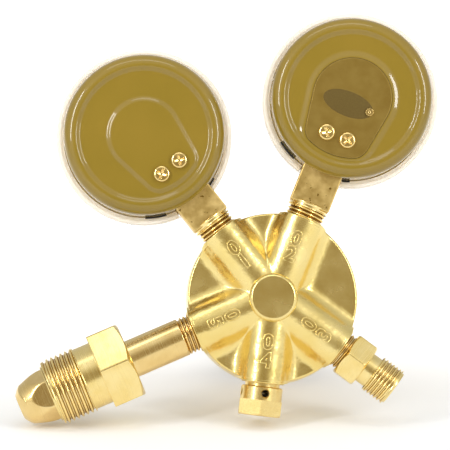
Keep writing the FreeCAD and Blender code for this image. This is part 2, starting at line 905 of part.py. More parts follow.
def gauge_case(port, reach, pad):
    """Drawn cup: a rolled rear edge round a shallow recess, a raised pad, and a lip for the lens."""
    bend = case_corner * (1 - math.sqrt(0.5))
    crest_inner = case_radius - case_corner
    inner_back = case_inner_back()
    inner_radius = case_radius - case_wall
    cup = turned([
        (0, case_recess), (case_recess_radius, case_recess), (case_recess_radius + case_slope, 0),
        (crest_inner, 0),
        ("arc", (case_radius - bend, bend), (case_radius, case_corner)),
        (case_radius, case_depth - case_lip_length), (case_lip_radius, case_depth - case_lip_length),
        (case_lip_radius, case_depth), (inner_radius, case_depth),
        (inner_radius, inner_back + 2.0), (inner_radius - 2.0, inner_back), (0, inner_back),
    ])
    cup = cup.fuse(raised_pad(*pad))
    tools = [rod(gauge_screw_shank, -1, case_depth / 3) for spot in gauge_screw_spots()]
    for tool, spot in zip(tools, gauge_screw_spots()):
        tool.translate(Vector(spot[0], spot[1], 0))
    window = Part.makeBox(socket_width, case_radius, socket_thickness,
                          Vector(-socket_width / 2, -case_radius * 1.5,
                                 case_axis_depth - socket_thickness / 2))
    tools.append(window)
    return in_gauge(cup.cut(tools), port, reach)


def gauge_socket(port, reach):
    """Bar with a taper thread below and a pad behind that the case back is screwed to."""
    top = reach - socket_top_offset
    half = socket_thickness / 2
    bar = block(socket_width, socket_thickness, socket_start, top)
    stub = rod(port_thread_radius, thread_start, socket_start).common(
        block(4 * port_thread_radius, socket_thickness, thread_start, socket_start))
    pad_back = case_axis_depth - case_inner_back()
    pad_low = reach - gauge_screw_offset - 2 * gauge_screw_head
    pad = block(socket_width, pad_back - half, pad_low, top, (pad_back + half) / 2)
    solid = bar.fuse([stub, pad])
    tools = [rod(socket_bore, thread_start, top - socket_blind_wall)]
    for spot in gauge_screw_spots():
        hole = Part.makeCylinder(gauge_screw_shank, gauge_screw_length,
                                 Vector(-spot[0], pad_back, reach + spot[1]), y_axis * -1)
        tools.append(hole)
    tube_height = -math.sqrt(tube_mean_radius ** 2 - (socket_width / 2) ** 2)
    cross = Part.makeCylinder(socket_bore, socket_width / 2,
                              Vector(0, 0, reach + tube_height), x_axis * -1)
    tools.append(cross)
    return at_port(solid.cut(tools), port)


def flat_oval(width, depth, middle_radius):
    """Section of the pressure tube in the XZ plane, long side along Z."""
    half = width / 2
    straight = depth / 2 - half
    return wire_in("xz", [
        (middle_radius - half, -straight),
        ("arc", (middle_radius, -depth / 2), (middle_radius + half, -straight)),
        (middle_radius + half, straight),
        ("arc", (middle_radius, depth / 2), (middle_radius - half, straight)),
    ])


def tip_angle():
    """Where the pressure tube ends, counted anticlockwise from right as a dial is seen."""
    return 270 - math.degrees(math.asin(socket_width / 2 / tube_mean_radius)) - tube_sweep


def pressure_tube(port, reach):
    """C-shaped flat tube that leaves the left side of the socket and ends on the right."""
    sweep = 268 - tip_angle()
    solid = Part.Face(flat_oval(tube_width, tube_depth, tube_mean_radius)).revolve(
        origin, z_axis, sweep)
    hollow = Part.Face(flat_oval(tube_width - 2 * tube_wall, tube_depth - 2 * tube_wall,
                                 tube_mean_radius)).revolve(origin, z_axis, sweep)
    solid = solid.cut(hollow)
    solid.rotate(origin, z_axis, tip_angle())
    solid.translate(z_axis * case_axis_depth)
    keep_out = Part.makeBox(socket_width, 2 * tube_mean_radius, 2 * tube_depth,
                            Vector(-socket_width / 2, -2 * tube_mean_radius,
                                   case_axis_depth - tube_depth))
    return in_gauge(solid.cut(keep_out), port, reach)


def tip_middle():
    return tip_angle() - math.degrees(tip_length / 2 / tube_mean_radius)


def tip_inner_radius():
    return tube_mean_radius - tube_width / 2 - tip_clearance


def tip_pin_spot():
    """Centre of the pin on the tube's tip, in the plane of the dial."""
    return polar(tip_inner_radius() - tip_ear_reach, tip_middle())


def tube_tip(port, reach):
    """Block that closes the tube, with an ear and a pin for the link."""
    half = tube_depth / 2
    body = Part.makeBox(tube_width + 2 * tip_clearance, tip_length, tube_depth,
                        Vector(tip_inner_radius(), -tip_length, case_axis_depth - half))
    body.rotate(origin, z_axis, tip_angle())
    spot = tip_pin_spot()
    ear_start = link_level() - link_thickness - tip_ear_thickness
    ear = slab(capsule(spot, polar(tube_mean_radius, tip_middle()), tip_ear_radius),
               ear_start, tip_ear_thickness)
    pin = rod(link_pin_radius, ear_start, link_level())
    pin.translate(Vector(spot[0], spot[1], 0))
    return in_gauge(body.fuse([ear, pin]), port, reach)


def link_level():
    """Front face of the link, just behind the sector gear."""
    return sector_start() - link_sector_gap


def sector_start():
    return (plate_back_depth + plate_sheet + plate_front_depth - gear_thickness) / 2


def sector_pivot():
    return polar(gear_distance, sector_direction)


def sector_rest_turn():
    """Direction from the sector's pivot to its middle tooth at rest, half its sweep before the pinion."""
    return sector_direction - 180 - half_sector_sweep


def tail_spot():
    """Pin on the sector's tail, at rest."""
    pivot = sector_pivot()
    reach = polar(sector_tail, sector_tail_middle - half_sector_sweep)
    return pivot[0] + reach[0], pivot[1] + reach[1]


def pillar_spots():
    low = -socket_top_offset + 2 * pillar_radius
    return [(3 * pillar_radius, low), (-3 * pillar_radius, low), (0.0, plate_end_radius - pillar_radius)]


def movement_frame(port, reach):
    """Two plates on pillars, with a foot that stands on the end of the socket."""
    pivot = sector_pivot()
    foot_height = -socket_top_offset
    foot_width = 2 * plate_end_radius
    solid = Part.makeBox(foot_width, plate_sheet, plate_front_depth - plate_back_depth + plate_sheet,
                         Vector(-plate_end_radius, foot_height, plate_back_depth))
    for level in (plate_back_depth, plate_front_depth):
        plate = slab(capsule((0, 0), pivot, plate_end_radius), level, plate_sheet)
        neck = block(foot_width, -foot_height, level, level + plate_sheet, foot_height / 2)
        solid = solid.fuse([plate, neck])
    for spot in pillar_spots():
        pillar = rod(pillar_radius, plate_back_depth, dial_depth)
        pillar.translate(Vector(spot[0], spot[1], 0))
        solid = solid.fuse(pillar)
    for spot in ((0, 0), pivot):
        hole = rod(arbor_radius + pivot_hole_gap, plate_back_depth, dial_depth)
        hole.translate(Vector(spot[0], spot[1], 0))
        solid = solid.cut(hole)
    return in_gauge(solid, port, reach)


def sector_gear(port, reach):
    """Toothed segment on its arbor, with a window to lighten it and a tail that the link pulls."""
    pivot = sector_pivot()
    start = sector_start()
    tooth_angle = 360 / full_gear_tooth_count
    first = sector_rest_turn() - tooth_angle * (sector_tooth_count - 1) / 2
    last = first + tooth_angle * (sector_tooth_count - 1)
    segment = slab([(0, 0)] + gear_outline(full_gear_tooth_count, first, sector_tooth_count), start,
                   gear_thickness)
    rim = gear_distance * 0.70
    spokes = gear_distance * 0.32
    window = slab([polar(spokes, first + 14), polar(rim, first + 6), polar(rim, last - 6),
                   polar(spokes, last - 14)], start, gear_thickness)
    segment = segment.cut(window)
    tail_end = (tail_spot()[0] - pivot[0], tail_spot()[1] - pivot[1])
    tail = slab(capsule((0, 0), tail_end, sector_tail_radius), start, gear_thickness)
    pin = rod(link_pin_radius, link_level() - link_thickness, start)
    pin.translate(Vector(tail_end[0], tail_end[1], 0))
    arbor = rod(arbor_radius, plate_back_depth, plate_front_depth + plate_sheet)
    hub = rod(sector_hub_radius, start, start + gear_thickness)
    solid = segment.fuse([tail, pin, arbor, hub])
    solid.translate(Vector(pivot[0], pivot[1], 0))
    return in_gauge(solid, port, reach)


def link(port, reach):
    """Strap from the tip of the tube to the sector's tail. Its far hole is wide, to follow the arc."""
    back = link_level() - link_thickness
    solid = slab(capsule(tail_spot(), tip_pin_spot(), link_end_radius), back, link_thickness)
    for spot, gap in ((tail_spot(), link_slack), (tip_pin_spot(), link_hole_gap)):
        hole = rod(link_pin_radius + gap, back, link_level())
        hole.translate(Vector(spot[0], spot[1], 0))
        solid = solid.cut(hole)
    return in_gauge(solid, port, reach)


def pinion(port, reach):
    """Arbor with the pinion between the plates, and the pointer's seat in front of the dial."""
    half_tooth = 180 / pinion_tooth_count
    # halfway through the sweep a gap faces the sector's middle tooth, and rest is half a sweep before
    turn = sector_direction + half_tooth + pointer_sweep / 2
    teeth = slab(gear_outline(pinion_tooth_count, turn, pinion_tooth_count), sector_start() - gear_overhang,
                 gear_thickness + 2 * gear_overhang)
    arbor = rod(arbor_radius, plate_back_depth, pointer_depth + pointer_hub_height)
    return in_gauge(teeth.fuse(arbor), port, reach)


def dial(port, reach):
    plate = tube(dial_radius, dial_hole, dial_depth, dial_depth + dial_thickness)
    return in_gauge(plate, port, reach)


def pointer(port, reach):
    """Tapered hand on a hub, drawn at its zero stop."""
    blade = slab([
        (-pointer_tail, -pointer_width / 2), (0, -pointer_width / 2),
        (pointer_length, -pointer_tip_width / 2), (pointer_length + 0.8, 0),
        (pointer_length, pointer_tip_width / 2), (0, pointer_width / 2),
        (-pointer_tail, pointer_width / 2),
    ], pointer_depth, pointer_thickness)
    hub = rod(pointer_hub_radius, pointer_depth, pointer_depth + pointer_hub_height)
    solid = blade.fuse(hub).cut(rod(arbor_radius, pointer_depth, pointer_depth + pointer_hub_height))
    solid.rotate(origin, z_axis, pointer_start)
    return in_gauge(solid, port, reach)


def gauge_lens(port, reach):
    """Clear cap: a skirt that snaps over the lip of the case, and a flat window."""
    end = case_depth + lens_window
    bend = lens_round * (1 - math.sqrt(0.5))
    cap = turned([
        (case_lip_radius, lens_skirt_start), (lens_radius, lens_skirt_start),
        (lens_radius, end - lens_round),
        ("arc", (lens_radius - bend, end - bend), (lens_radius - lens_round, end)),
        (0, end), (0, case_depth), (case_lip_radius, case_depth),
    ])
    front = case_axis_depth + socket_thickness / 2 + lens_notch_gap
    width = socket_width + 2 * lens_notch_gap
    notch = Part.makeBox(width, lens_radius, front - lens_skirt_start,
                         Vector(-width / 2, -1.5 * lens_radius, lens_skirt_start))
    return in_gauge(cap.cut(notch), port, reach)


def gauge_screws(port, reach, surface):
    """The two screws that hold the case to the pad of the socket."""
    solids = []
    for spot in gauge_screw_spots():
        head = turned([
            (0, -gauge_screw_head_height), (gauge_screw_head - 1.0, -gauge_screw_head_height),
            ("arc", (gauge_screw_head - 0.3, -gauge_screw_head_height + 0.45), (gauge_screw_head, -0.6)),
            (gauge_screw_head, 0), (gauge_screw_shank, 0),
            (gauge_screw_shank, case_inner_back() + gauge_screw_length - surface), (0, case_inner_back()
             + gauge_screw_length - surface),
        ])
        for turn in (0, 90):
            slot = block(gauge_screw_slot, gauge_screw_head, -gauge_screw_head_height, -0.8)
            slot.rotate(origin, z_axis, 30 + turn)
            head = head.cut(slot)
        head.translate(Vector(spot[0], spot[1], surface))
        solids.append(head)
    return in_gauge(Part.makeCompound(solids), port, reach)


def back_film(port, reach):
    """Thin plate on the pad of the low-pressure gauge, under its two screws."""
    plate = slab(pad_outline(back_film_radius, back_film_foot, pad_corner),
                 pad_surface() - back_film_thickness, back_film_thickness)
    for spot in gauge_screw_spots():
        hole = rod(gauge_screw_shank, -3, 3)
        hole.translate(Vector(spot[0], spot[1], 0))
        plate = plate.cut(hole)
    return in_gauge(plate, port, reach)


def gauge_parts(name, port, reach, pad, screw_surface):
    return {
        name + "_socket": gauge_socket(port, reach),
        name + "_case": gauge_case(port, reach, pad),
        name + "_pressure_tube": pressure_tube(port, reach),
        name + "_tube_tip": tube_tip(port, reach),
        name + "_movement_frame": movement_frame(port, reach),
        name + "_sector_gear": sector_gear(port, reach),
        name + "_link": link(port, reach),
        name + "_pinion": pinion(port, reach),
        name + "_dial": dial(port, reach),
        name + "_pointer": pointer(port, reach),
        name + "_lens": gauge_lens(port, reach),
        name + "_case_screws": gauge_screws(port, reach, screw_surface),
    }


def all_parts():
    parts = {
        "body": body_forging(),
        "valve_nozzle": valve_nozzle(),
        "valve_poppet": valve_poppet(),
        "valve_seat": valve_seat(),
        "valve_spring": valve_spring(),
        "diaphragm_post": diaphragm_post(),
        "diaphragm_plate": diaphragm_plate(),
        "diaphragm": diaphragm(),
        "slip_ring": slip_ring(),
        "bonnet": bonnet(),
        "range_spring": range_spring(),
        "spring_button": spring_button(),
        "adjusting_screw": adjusting_screw(),
        "adjusting_knob": knob(),
        "knob_cap": knob_cap(),
        "inlet_nipple": inlet_nipple(),
        "inlet_filter": inlet_filter(),
        "inlet_nut": inlet_nut(),
        "outlet_fitting": outlet_fitting(),
        "relief_housing": relief_housing(),
        "relief_disc": relief_disc(),
        "relief_spring": relief_spring(),
        "relief_plug": relief_plug(),
        "low_back_plate": back_film("low", low_gauge_reach),
    }
    parts.update(gauge_parts("high", "high", high_gauge_reach, (high_pad_radius, high_pad_foot),
                             pad_surface()))
    parts.update(gauge_parts("low", "low", low_gauge_reach, (low_pad_radius, low_pad_foot),
                             pad_surface() - back_film_thickness))
    return parts


def main():
    os.makedirs("parts", exist_ok=True)
    for name, shape in all_parts().items():
        shape.exportStep(os.path.join("parts", name + ".step"))


main()
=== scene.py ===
import functools
import json
import math

import bmesh
import bpy
import numpy as np
from mathutils import Matrix, Vector

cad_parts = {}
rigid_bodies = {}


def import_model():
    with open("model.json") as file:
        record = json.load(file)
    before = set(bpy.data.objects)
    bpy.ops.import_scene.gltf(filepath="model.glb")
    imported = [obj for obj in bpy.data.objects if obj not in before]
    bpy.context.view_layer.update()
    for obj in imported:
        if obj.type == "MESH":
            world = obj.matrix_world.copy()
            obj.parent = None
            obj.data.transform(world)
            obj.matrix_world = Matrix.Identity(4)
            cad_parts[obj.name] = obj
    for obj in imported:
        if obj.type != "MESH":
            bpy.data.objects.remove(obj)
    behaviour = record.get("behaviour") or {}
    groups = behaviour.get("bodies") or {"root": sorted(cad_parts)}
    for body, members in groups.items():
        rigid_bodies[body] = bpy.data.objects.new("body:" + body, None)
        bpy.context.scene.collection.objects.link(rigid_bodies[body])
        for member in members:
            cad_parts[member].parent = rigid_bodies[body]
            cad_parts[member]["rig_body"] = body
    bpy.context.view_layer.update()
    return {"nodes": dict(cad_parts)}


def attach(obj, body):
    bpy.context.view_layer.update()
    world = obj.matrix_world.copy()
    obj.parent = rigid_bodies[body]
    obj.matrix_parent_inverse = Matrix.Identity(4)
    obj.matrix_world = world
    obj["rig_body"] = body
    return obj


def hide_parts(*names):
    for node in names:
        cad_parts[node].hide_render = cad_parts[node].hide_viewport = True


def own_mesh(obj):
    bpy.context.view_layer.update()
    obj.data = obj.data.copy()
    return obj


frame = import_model()

# Lengths in the making are millimetres, as in the drawings, and each mesh is scaled to metres as it is
# placed. A port's angle is counted clockwise from up, as seen from the back.
mm = 0.001
port_angles = {"high": 321.6, "low": 21.6, "outlet": 126.6, "relief": 186.6, "inlet": 246.6}
port_plane = 11.2
port_face = 30.9
back_depth = 9.5
rim_depth = 21.5
rim_rear_radius = 30.7
rim_front_radius = 31.2
arm_end_radius = 31.4
boss_radius = 8.7
gauge_reach = {"high": 74.8, "low": 77.5}
gauge_axis_depth = 11.4
taper_radius = 6.85
taper_pitch = 1.411
taper_root = taper_radius - 0.5 * taper_pitch
nut_thread_radius = 12.255
nut_pitch = 1.814
nut_ridge = 0.6 * nut_pitch
hose_thread_radius = 7.145
hose_pitch = 1.411
socket_width = 14.8
socket_thickness = 11.5
case_screw_spread = 4.0
case_screw_offset = 15.2
pad_side_angle = 9.0
pad_corner = 2.2
lens_radius = 31.8
dial_face = 19.95
dial_scale_radius = 23.6
dial_number_radius = 16.6
hexagon_first_corner = 30.0
turning_map = "Turning"


# Camera and studio

# Brightness of the room by angle from the camera: dim behind it, a bright ring round it, then a white tent
room_bands = [(0, (0.36, 0.30, 0.19)), (13, (0.38, 0.32, 0.21)), (24, (0.58, 0.54, 0.44)),
              (36, (0.88, 0.87, 0.83)), (55, (0.86, 0.86, 0.84)), (90, (0.62, 0.62, 0.6)),
              (180, (0.6, 0.6, 0.58))]
# Name, place, width, height and watts
soft_boxes = [("left_box", (0.82, 0.84, 0.38), 0.11, 0.62, 4.6),
              ("right_box", (-0.84, 0.84, 0.3), 0.14, 0.6, 3.6),
              ("top_box", (0.1, 0.6, 1.05), 0.9, 0.25, 1.5)]
light_target = Vector((0.0, 0.0, 0.02))
camera_distance = 1.2
camera_right = 0.0174
camera_down = 0.0259
sweep_size = 1.6
sweep_slope = 0.268
sweep_touch = (-0.011, -0.047)


def new_object(name, data):
    thing = bpy.data.objects.new(name, data)
    bpy.context.scene.collection.objects.link(thing)
    return thing


def make_camera():
    """Camera behind the set, looking along -Y, with a long lens."""
    ahead = Vector((-0.024, -1.0, 0.058)).normalized()
    right = Vector((-0.9997, 0.024, 0.0)).normalized()
    right = (right - ahead * right.dot(ahead)).normalized()
    up = right.cross(ahead)
    data = bpy.data.cameras.new("view")
    data.lens = 267.6
    data.sensor_width = 36.0
    data.clip_end = 10.0
    camera = new_object("view", data)
    place = Matrix((right, up, -ahead)).transposed().to_4x4()
    place.translation = -(ahead * camera_distance + right * camera_right - up * camera_down)
    camera.matrix_world = place
    bpy.context.scene.camera = camera


def linear(hex_colour):
    """Linear colour from an sRGB hex value."""
    parts = [int(hex_colour[k:k + 2], 16) / 255 for k in (1, 3, 5)]
    return [c / 12.92 if c <= 0.04045 else ((c + 0.055) / 1.055) ** 2.4 for c in parts] + [1.0]


def output_of(source):
    """The socket to link from: a socket is itself, and a node gives its first output."""
    return source.outputs[0] if isinstance(source, bpy.types.Node) else source


def add(tree, kind, inputs=None, **settings):
    """Adds a node, with its settings, and its inputs as values, or as sockets or nodes to link from."""
    node = tree.nodes.new(kind)
    for name, value in settings.items():
        setattr(node, name, value)
    for name, value in (inputs or {}).items():
        value = output_of(value)
        if isinstance(value, bpy.types.NodeSocket):
            tree.links.new(value, node.inputs[name])
        else:
            node.inputs[name].default_value = value
    return node


def emptied(owner):
    """The node tree of a world or material, without nodes, and a function that adds to it."""
    owner.use_nodes = True
    owner.node_tree.nodes.clear()
    return owner.node_tree, functools.partial(add, owner.node_tree)


def make_room():
    """Dim room that the camera sees as white. Its light depends on the angle from the camera alone."""
    world = bpy.data.worlds.new("studio")
    bpy.context.scene.world = world
    put = emptied(world)[1]
    incoming = put("ShaderNodeNewGeometry").outputs["Incoming"]
    cosine = put("ShaderNodeVectorMath", {0: incoming, 1: (0, -1, 0)}, operation="DOT_PRODUCT")
    angle = put("ShaderNodeMath", {0: cosine.outputs["Value"]}, operation="ARCCOSINE")
    share = put("ShaderNodeMath", {0: angle, 1: math.pi}, operation="DIVIDE")
    ramp = put("ShaderNodeValToRGB", {0: share})
    bands = ramp.color_ramp.elements
    for degrees, _ in room_bands[1:-1]:
        bands.new(degrees / 180)
    for stop, (degrees, light) in zip(bands, room_bands):
        stop.position = degrees / 180
        stop.color = (*light, 1)
    room = put("ShaderNodeBackground", {"Color": ramp})
    white = put("ShaderNodeBackground", {"Color": linear("#FFFFFF")})
    mix = put("ShaderNodeMixShader", {
        0: put("ShaderNodeLightPath").outputs["Is Camera Ray"], 1: room, 2: white})
    put("ShaderNodeOutputWorld", {"Surface": mix})


def make_studio():
    """White sweep that rises behind the set, soft boxes at both sides and above, and the room."""
    bpy.context.scene.view_settings.view_transform = "Standard"
    make_room()
    for name, spot, width, height, watts in soft_boxes:
        data = bpy.data.lights.new(name, "AREA")
        data.shape = "RECTANGLE"
        data.size = width
        data.size_y = height
        data.energy = watts
        lamp = new_object(name, data)
        lamp.location = spot
        lamp.rotation_euler = (light_target - Vector(spot)).to_track_quat("-Z", "Y").to_euler()
    mesh = bpy.data.meshes.new("sweep")
    # it passes under the set's lowest point, given as y and z
    touch_y, touch_z = sweep_touch
    corners = [(x * sweep_size, y * sweep_size, touch_z - sweep_slope * (y * sweep_size - touch_y))
               for x, y in ((-1, -1), (1, -1), (1, 1), (-1, 1))]
    mesh.from_pydata(corners, [], [(0, 1, 2, 3)])
    sweep = new_object("sweep", mesh)
    sweep.data.materials.append(sweep_paper())


def sweep_paper():
    """Matt white paper. It shows as white to the camera and to gloss, keeps the set's shadow, and its
    underside is clear, so that it doesn't hide the set from below."""
    material = bpy.data.materials.new("white_paper")
    tree, put = emptied(material)
    rays = put("ShaderNodeLightPath").outputs
    seen = put("ShaderNodeMath", {0: rays["Is Camera Ray"], 1: rays["Is Glossy Ray"]}, operation="ADD")
    seen = put("ShaderNodeMath", {0: seen, 1: rays["Is Transmission Ray"]}, operation="ADD", use_clamp=True)
    shaded = put("ShaderNodeBsdfDiffuse", {"Color": linear("#F2F5FA")})
    # painted light: to the camera and to gloss the paper also glows warm grey. The glow has strength 1.0 near
    # the set's foot and rises to 4.6 at 0.22 m farther from the camera. This whitens the floor away from the
    # set and gives the shadow near it a painted warm tint of light bounced off the brass.
    spot = put("ShaderNodeTexCoord").outputs["Object"]
    away = put("ShaderNodeSeparateXYZ", {0: spot}).outputs["Y"]
    rise = spread(tree, away, 1.0, 4.6, -0.02, -0.22)
    glow = put("ShaderNodeEmission", {"Color": linear("#6B6761"), "Strength": rise})
    lit = put("ShaderNodeAddShader", {0: shaded, 1: glow})
    plain = put("ShaderNodeBsdfDiffuse", {"Color": linear("#E8E8E6")})
    front = put("ShaderNodeMixShader", {0: seen, 1: plain, 2: lit})
    clear = put("ShaderNodeBsdfTransparent")
    under = put("ShaderNodeNewGeometry").outputs["Backfacing"]
    put("ShaderNodeOutputMaterial", {"Surface": put("ShaderNodeMixShader", {0: under, 1: front, 2: clear})})
    return material


# Finishes


def finish(name, colour, metallic, roughness, **sockets):
    """New material with a Principled shader. Returns the material, its tree and the shader."""
    material = bpy.data.materials.new(name)
    tree, put = emptied(material)
    shader = put("ShaderNodeBsdfPrincipled", {
        "Base Color": linear(colour), "Metallic": metallic, "Roughness": roughness, **sockets})
    put("ShaderNodeOutputMaterial", {"Surface": shader})
    return material, tree, shader


def object_spot(tree):
    return add(tree, "ShaderNodeTexCoord").outputs["Object"]


def object_noise(tree, per_metre, detail=3.0, stretch=(1, 1, 1), turn=(0, 0, 0), rough=0.5):
    """Noise on Object coordinates. per_metre is how many features fit in a metre."""
    moved = add(tree, "ShaderNodeMapping", {"Vector": object_spot(tree), "Scale": stretch, "Rotation": turn})
    return add(tree, "ShaderNodeTexNoise", {"Vector": moved, "Scale": per_metre, "Detail": detail,
                                            "Roughness": rough})


def spread(tree, source, low, high, start=0.3, end=0.7):
    """Maps a pattern to a range of numbers."""
    return add(tree, "ShaderNodeMapRange", {"Value": source, "From Min": start, "From Max": end,
                                            "To Min": low, "To Max": high})


def blend(tree, share, first, second):
    """Colour between two, each a hex value or a socket."""
    first, second = (linear(c) if isinstance(c, str) else c for c in (first, second))
    return add(tree, "ShaderNodeMix", {0: share, 6: first, 7: second}, data_type="RGBA").outputs[2]


def tint(tree, source, dark, light, start=0.3, end=0.7):
    """Colour between two hex values by a pattern."""
    return blend(tree, spread(tree, source, 0.0, 1.0, start, end), dark, light)


def link(tree, source, shader, socket):
    tree.links.new(output_of(source), shader.inputs[socket])


def raise_by(tree, shader, *layers):
    """Bump from several (pattern, height in metres) layers, set on the shader's normal."""
    normal = {}
    for pattern, height in layers:
        bump = add(tree, "ShaderNodeBump", {"Height": pattern, "Distance": height, "Strength": 1.0, **normal})
        normal = {"Normal": bump}
    link(tree, bump, shader, "Normal")


def clouded(name, colour, metallic, rough, cloud, tints, gloss=None, gloss_cloud=None, bumps=(), **sockets):
    """Finish whose colour wanders between two tints over a cloud of noise. gloss is its lowest and highest
    roughness, over the same cloud or one of its own. A cloud is (features per metre, detail), and a bump
    has its height in metres too. Returns what finish does."""
    material, tree, shader = finish(name, colour, metallic, rough, **sockets)
    pattern = object_noise(tree, *cloud)
    link(tree, tint(tree, pattern, *tints), shader, "Base Color")
    if gloss:
        shine = object_noise(tree, *gloss_cloud) if gloss_cloud else pattern
        link(tree, spread(tree, shine, *gloss), shader, "Roughness")
    if bumps:
        raise_by(tree, shader, *((object_noise(tree, *noise), height) for *noise, height in bumps))
    return material, tree, shader


def turned_brass(name, dark, light, spacing, rough):
    """Bar brass, turned on a lathe: bright, with fine rings round the axis, which are read from a piece's
    own UV map, whose V runs along the profile."""
    material, tree, shader = clouded(name, light, 1.0, rough, (150, 3.0), (dark, light))
    uv = add(tree, "ShaderNodeUVMap", uv_map=turning_map)
    moved = add(tree, "ShaderNodeMapping", {"Vector": uv, "Scale": (0.35 / 0.02, 1 / spacing, 0)})
    rings = add(tree, "ShaderNodeTexNoise", {"Vector": moved, "Scale": 1.0, "Detail": 2.0, "Roughness": 0.6})
    link(tree, spread(tree, rings, rough - 0.04, rough + 0.08), shader, "Roughness")
    raise_by(tree, shader, (rings, 0.000006))
    return material


def thread_brass(name, port, root, crest, light="#FBE19A", dark="#B98A3A"):
    """Cut thread round a port's axis: painted shade darkens the grooves. It is graded between the root and
    crest radius, in millimetres, and the crests keep the light colour."""
    material, tree, shader = finish(name, light, 1.0, 0.2)
    put = functools.partial(add, tree, "ShaderNodeVectorMath")
    place = port_place(port)
    from_axis = put({0: object_spot(tree), 1: place.translation}, operation="SUBTRACT")
    along = (place.to_3x3() @ Vector((0, 0, 1))).normalized()
    square = put({0: from_axis, 1: along}, operation="CROSS_PRODUCT")
    radius = put({0: square}, operation="LENGTH").outputs["Value"]
    height = spread(tree, radius, 0.0, 1.0, root * mm, crest * mm)
    # painted shade: dark at the thread's root, light at its crest
    link(tree, tint(tree, height, dark, light, 0.1, 0.75), shader, "Base Color")
    link(tree, spread(tree, height, 0.34, 0.18, 0.1, 0.8), shader, "Roughness")
    raise_by(tree, shader, (object_noise(tree, 1600), 0.000012))
    return material


def plain_brass(name, dark, light, rough, grain_height=0.000008, grain=1800):
    """Machined brass without a lathe's rings, such as small inner parts: an even fine grain."""
    return clouded(name, light, 1.0, rough, (200, 3.0), (dark, light), (rough - 0.05, rough + 0.08),
                   (grain, 3.0), ((grain, 3.0, grain_height),))[0]


def socket_brass():
    """Drawn square brass bar, left as sawn and pickled: dull, grainy, with small dark pits."""
    material, tree, shader = finish("drawn_bar_brass", "#D9B266", 1.0, 0.42)
    cloud = object_noise(tree, 260, 4.0, rough=0.6)
    pits = object_noise(tree, 700, 2.0)
    base = tint(tree, cloud, "#D3B46C", "#ECD08C")
    pit_share = spread(tree, pits, 0.0, 1.0, 0.66, 0.72)
    link(tree, blend(tree, pit_share, base, "#8A6A2C"), shader, "Base Color")
    link(tree, spread(tree, cloud, 0.34, 0.5), shader, "Roughness")
    raise_by(tree, shader, (object_noise(tree, 1500, 4.0), 0.00003), (pits, 0.00002))
    return material


def gold_lacquer():
    """Pressed steel in gold-olive enamel: one even colour under a glossy coat with faint orange peel."""
    material, tree, shader = clouded(
        "gold_enamel", "#927820", 0.0, 0.42, (45, 2.0), ("#90771E", "#967B23"), (0.36, 0.5), (9000, 1.0),
        **{"Coat Weight": 1.0, "Coat Roughness": 0.06, "Specular IOR Level": 0.2})
    peel = object_noise(tree, 900, 2.0)
    link(tree, add(tree, "ShaderNodeBump", {"Height": peel, "Distance": 0.000006}), shader, "Coat Normal")
    return material


def brushed_plate(turn):
    """Thin sheet brass, brushed across the stem and lacquered."""
    material, tree, shader = clouded("brushed_sheet_brass", "#B79A50", 1.0, 0.3, (160, 3.0),
                                     ("#AE914A", "#BEA35A"))
    lines = object_noise(tree, 260, 3.0, stretch=(1, 1, 40), turn=turn)
    link(tree, spread(tree, lines, 0.28, 0.42), shader, "Roughness")
    raise_by(tree, shader, (lines, 0.000006))
    return material


def printed_patch():
    """Matt olive ink on the plate, bare of any words. The same finish paints the shadow line round the
    plate's edge.
    """
    return clouded("olive_ink", "#6B571F", 0.35, 0.5, (3000, 2.0), ("#665220", "#715D28"),
                   bumps=((3000, 2.0, 0.000004),))[0]


def clear_plastic():
    """Injection-moulded polycarbonate: clear and glossy. Most of the light goes straight through, which keeps
    the edges of so thin a moulding pale, as they are in a white room."""
    material, tree, shader = finish("clear_polycarbonate", "#FCFDFD", 0.0, 0.06,
                                    **{"IOR": 1.585, "Transmission Weight": 1.0})
    flow = object_noise(tree, 300, 2.0)
    raise_by(tree, shader, (flow, 0.00001))
    link(tree, spread(tree, flow, 0.04, 0.1), shader, "Roughness")
    straight_share = 0.78
    straight = add(tree, "ShaderNodeBsdfTransparent")
    mix = add(tree, "ShaderNodeMixShader", {0: straight_share, 1: shader, 2: straight})
    # painted light: the back rim of the skirt and its bead are mixed toward a pale diffuse and translucent
    # colour, which stands in for the light that the clear walls gather by internal reflection
    depth = add(tree, "ShaderNodeSeparateXYZ", {0: object_spot(tree)}).outputs["Y"]
    milk = add(tree, "ShaderNodeBsdfTranslucent", {"Color": linear("#CFCCC7")})
    pale = add(tree, "ShaderNodeBsdfDiffuse", {"Color": linear("#CFCCC7")})
    cloudy = add(tree, "ShaderNodeAddShader", {0: milk, 1: pale})
    share = spread(tree, depth, 0.08, 0.85, -0.0185, -0.0165)
    skirt = add(tree, "ShaderNodeMixShader", {0: share, 1: mix, 2: cloudy})
    output = next(n for n in tree.nodes if n.type == "OUTPUT_MATERIAL")
    link(tree, skirt, output, "Surface")
    return material


def plated_steel(name, dark, light, rough):
    """Plated steel: cool grey, a soft shine with fine draw lines."""
    return clouded(name, light, 1.0, rough, (900, 2.0), (dark, light), (rough - 0.06, rough + 0.1))[0]


def sintered_bronze():
    """Sintered bronze filter: tiny fused balls, matt, with painted shade that darkens the pores between them.
    """
    material, tree, shader = finish("sintered_bronze", "#A8743F", 1.0, 0.55)
    balls = add(tree, "ShaderNodeTexVoronoi", {"Vector": object_spot(tree), "Scale": 3500.0})
    pores = balls.outputs["Distance"]
    # painted shade: darker the farther from a ball's middle, in the pores
    link(tree, tint(tree, pores, "#B98450", "#6B4522", 0.1, 0.6), shader, "Base Color")
    raise_by(tree, shader, (spread(tree, pores, 1.0, 0.0, 0.0, 0.6), 0.00006))
    return material


# Mesh making


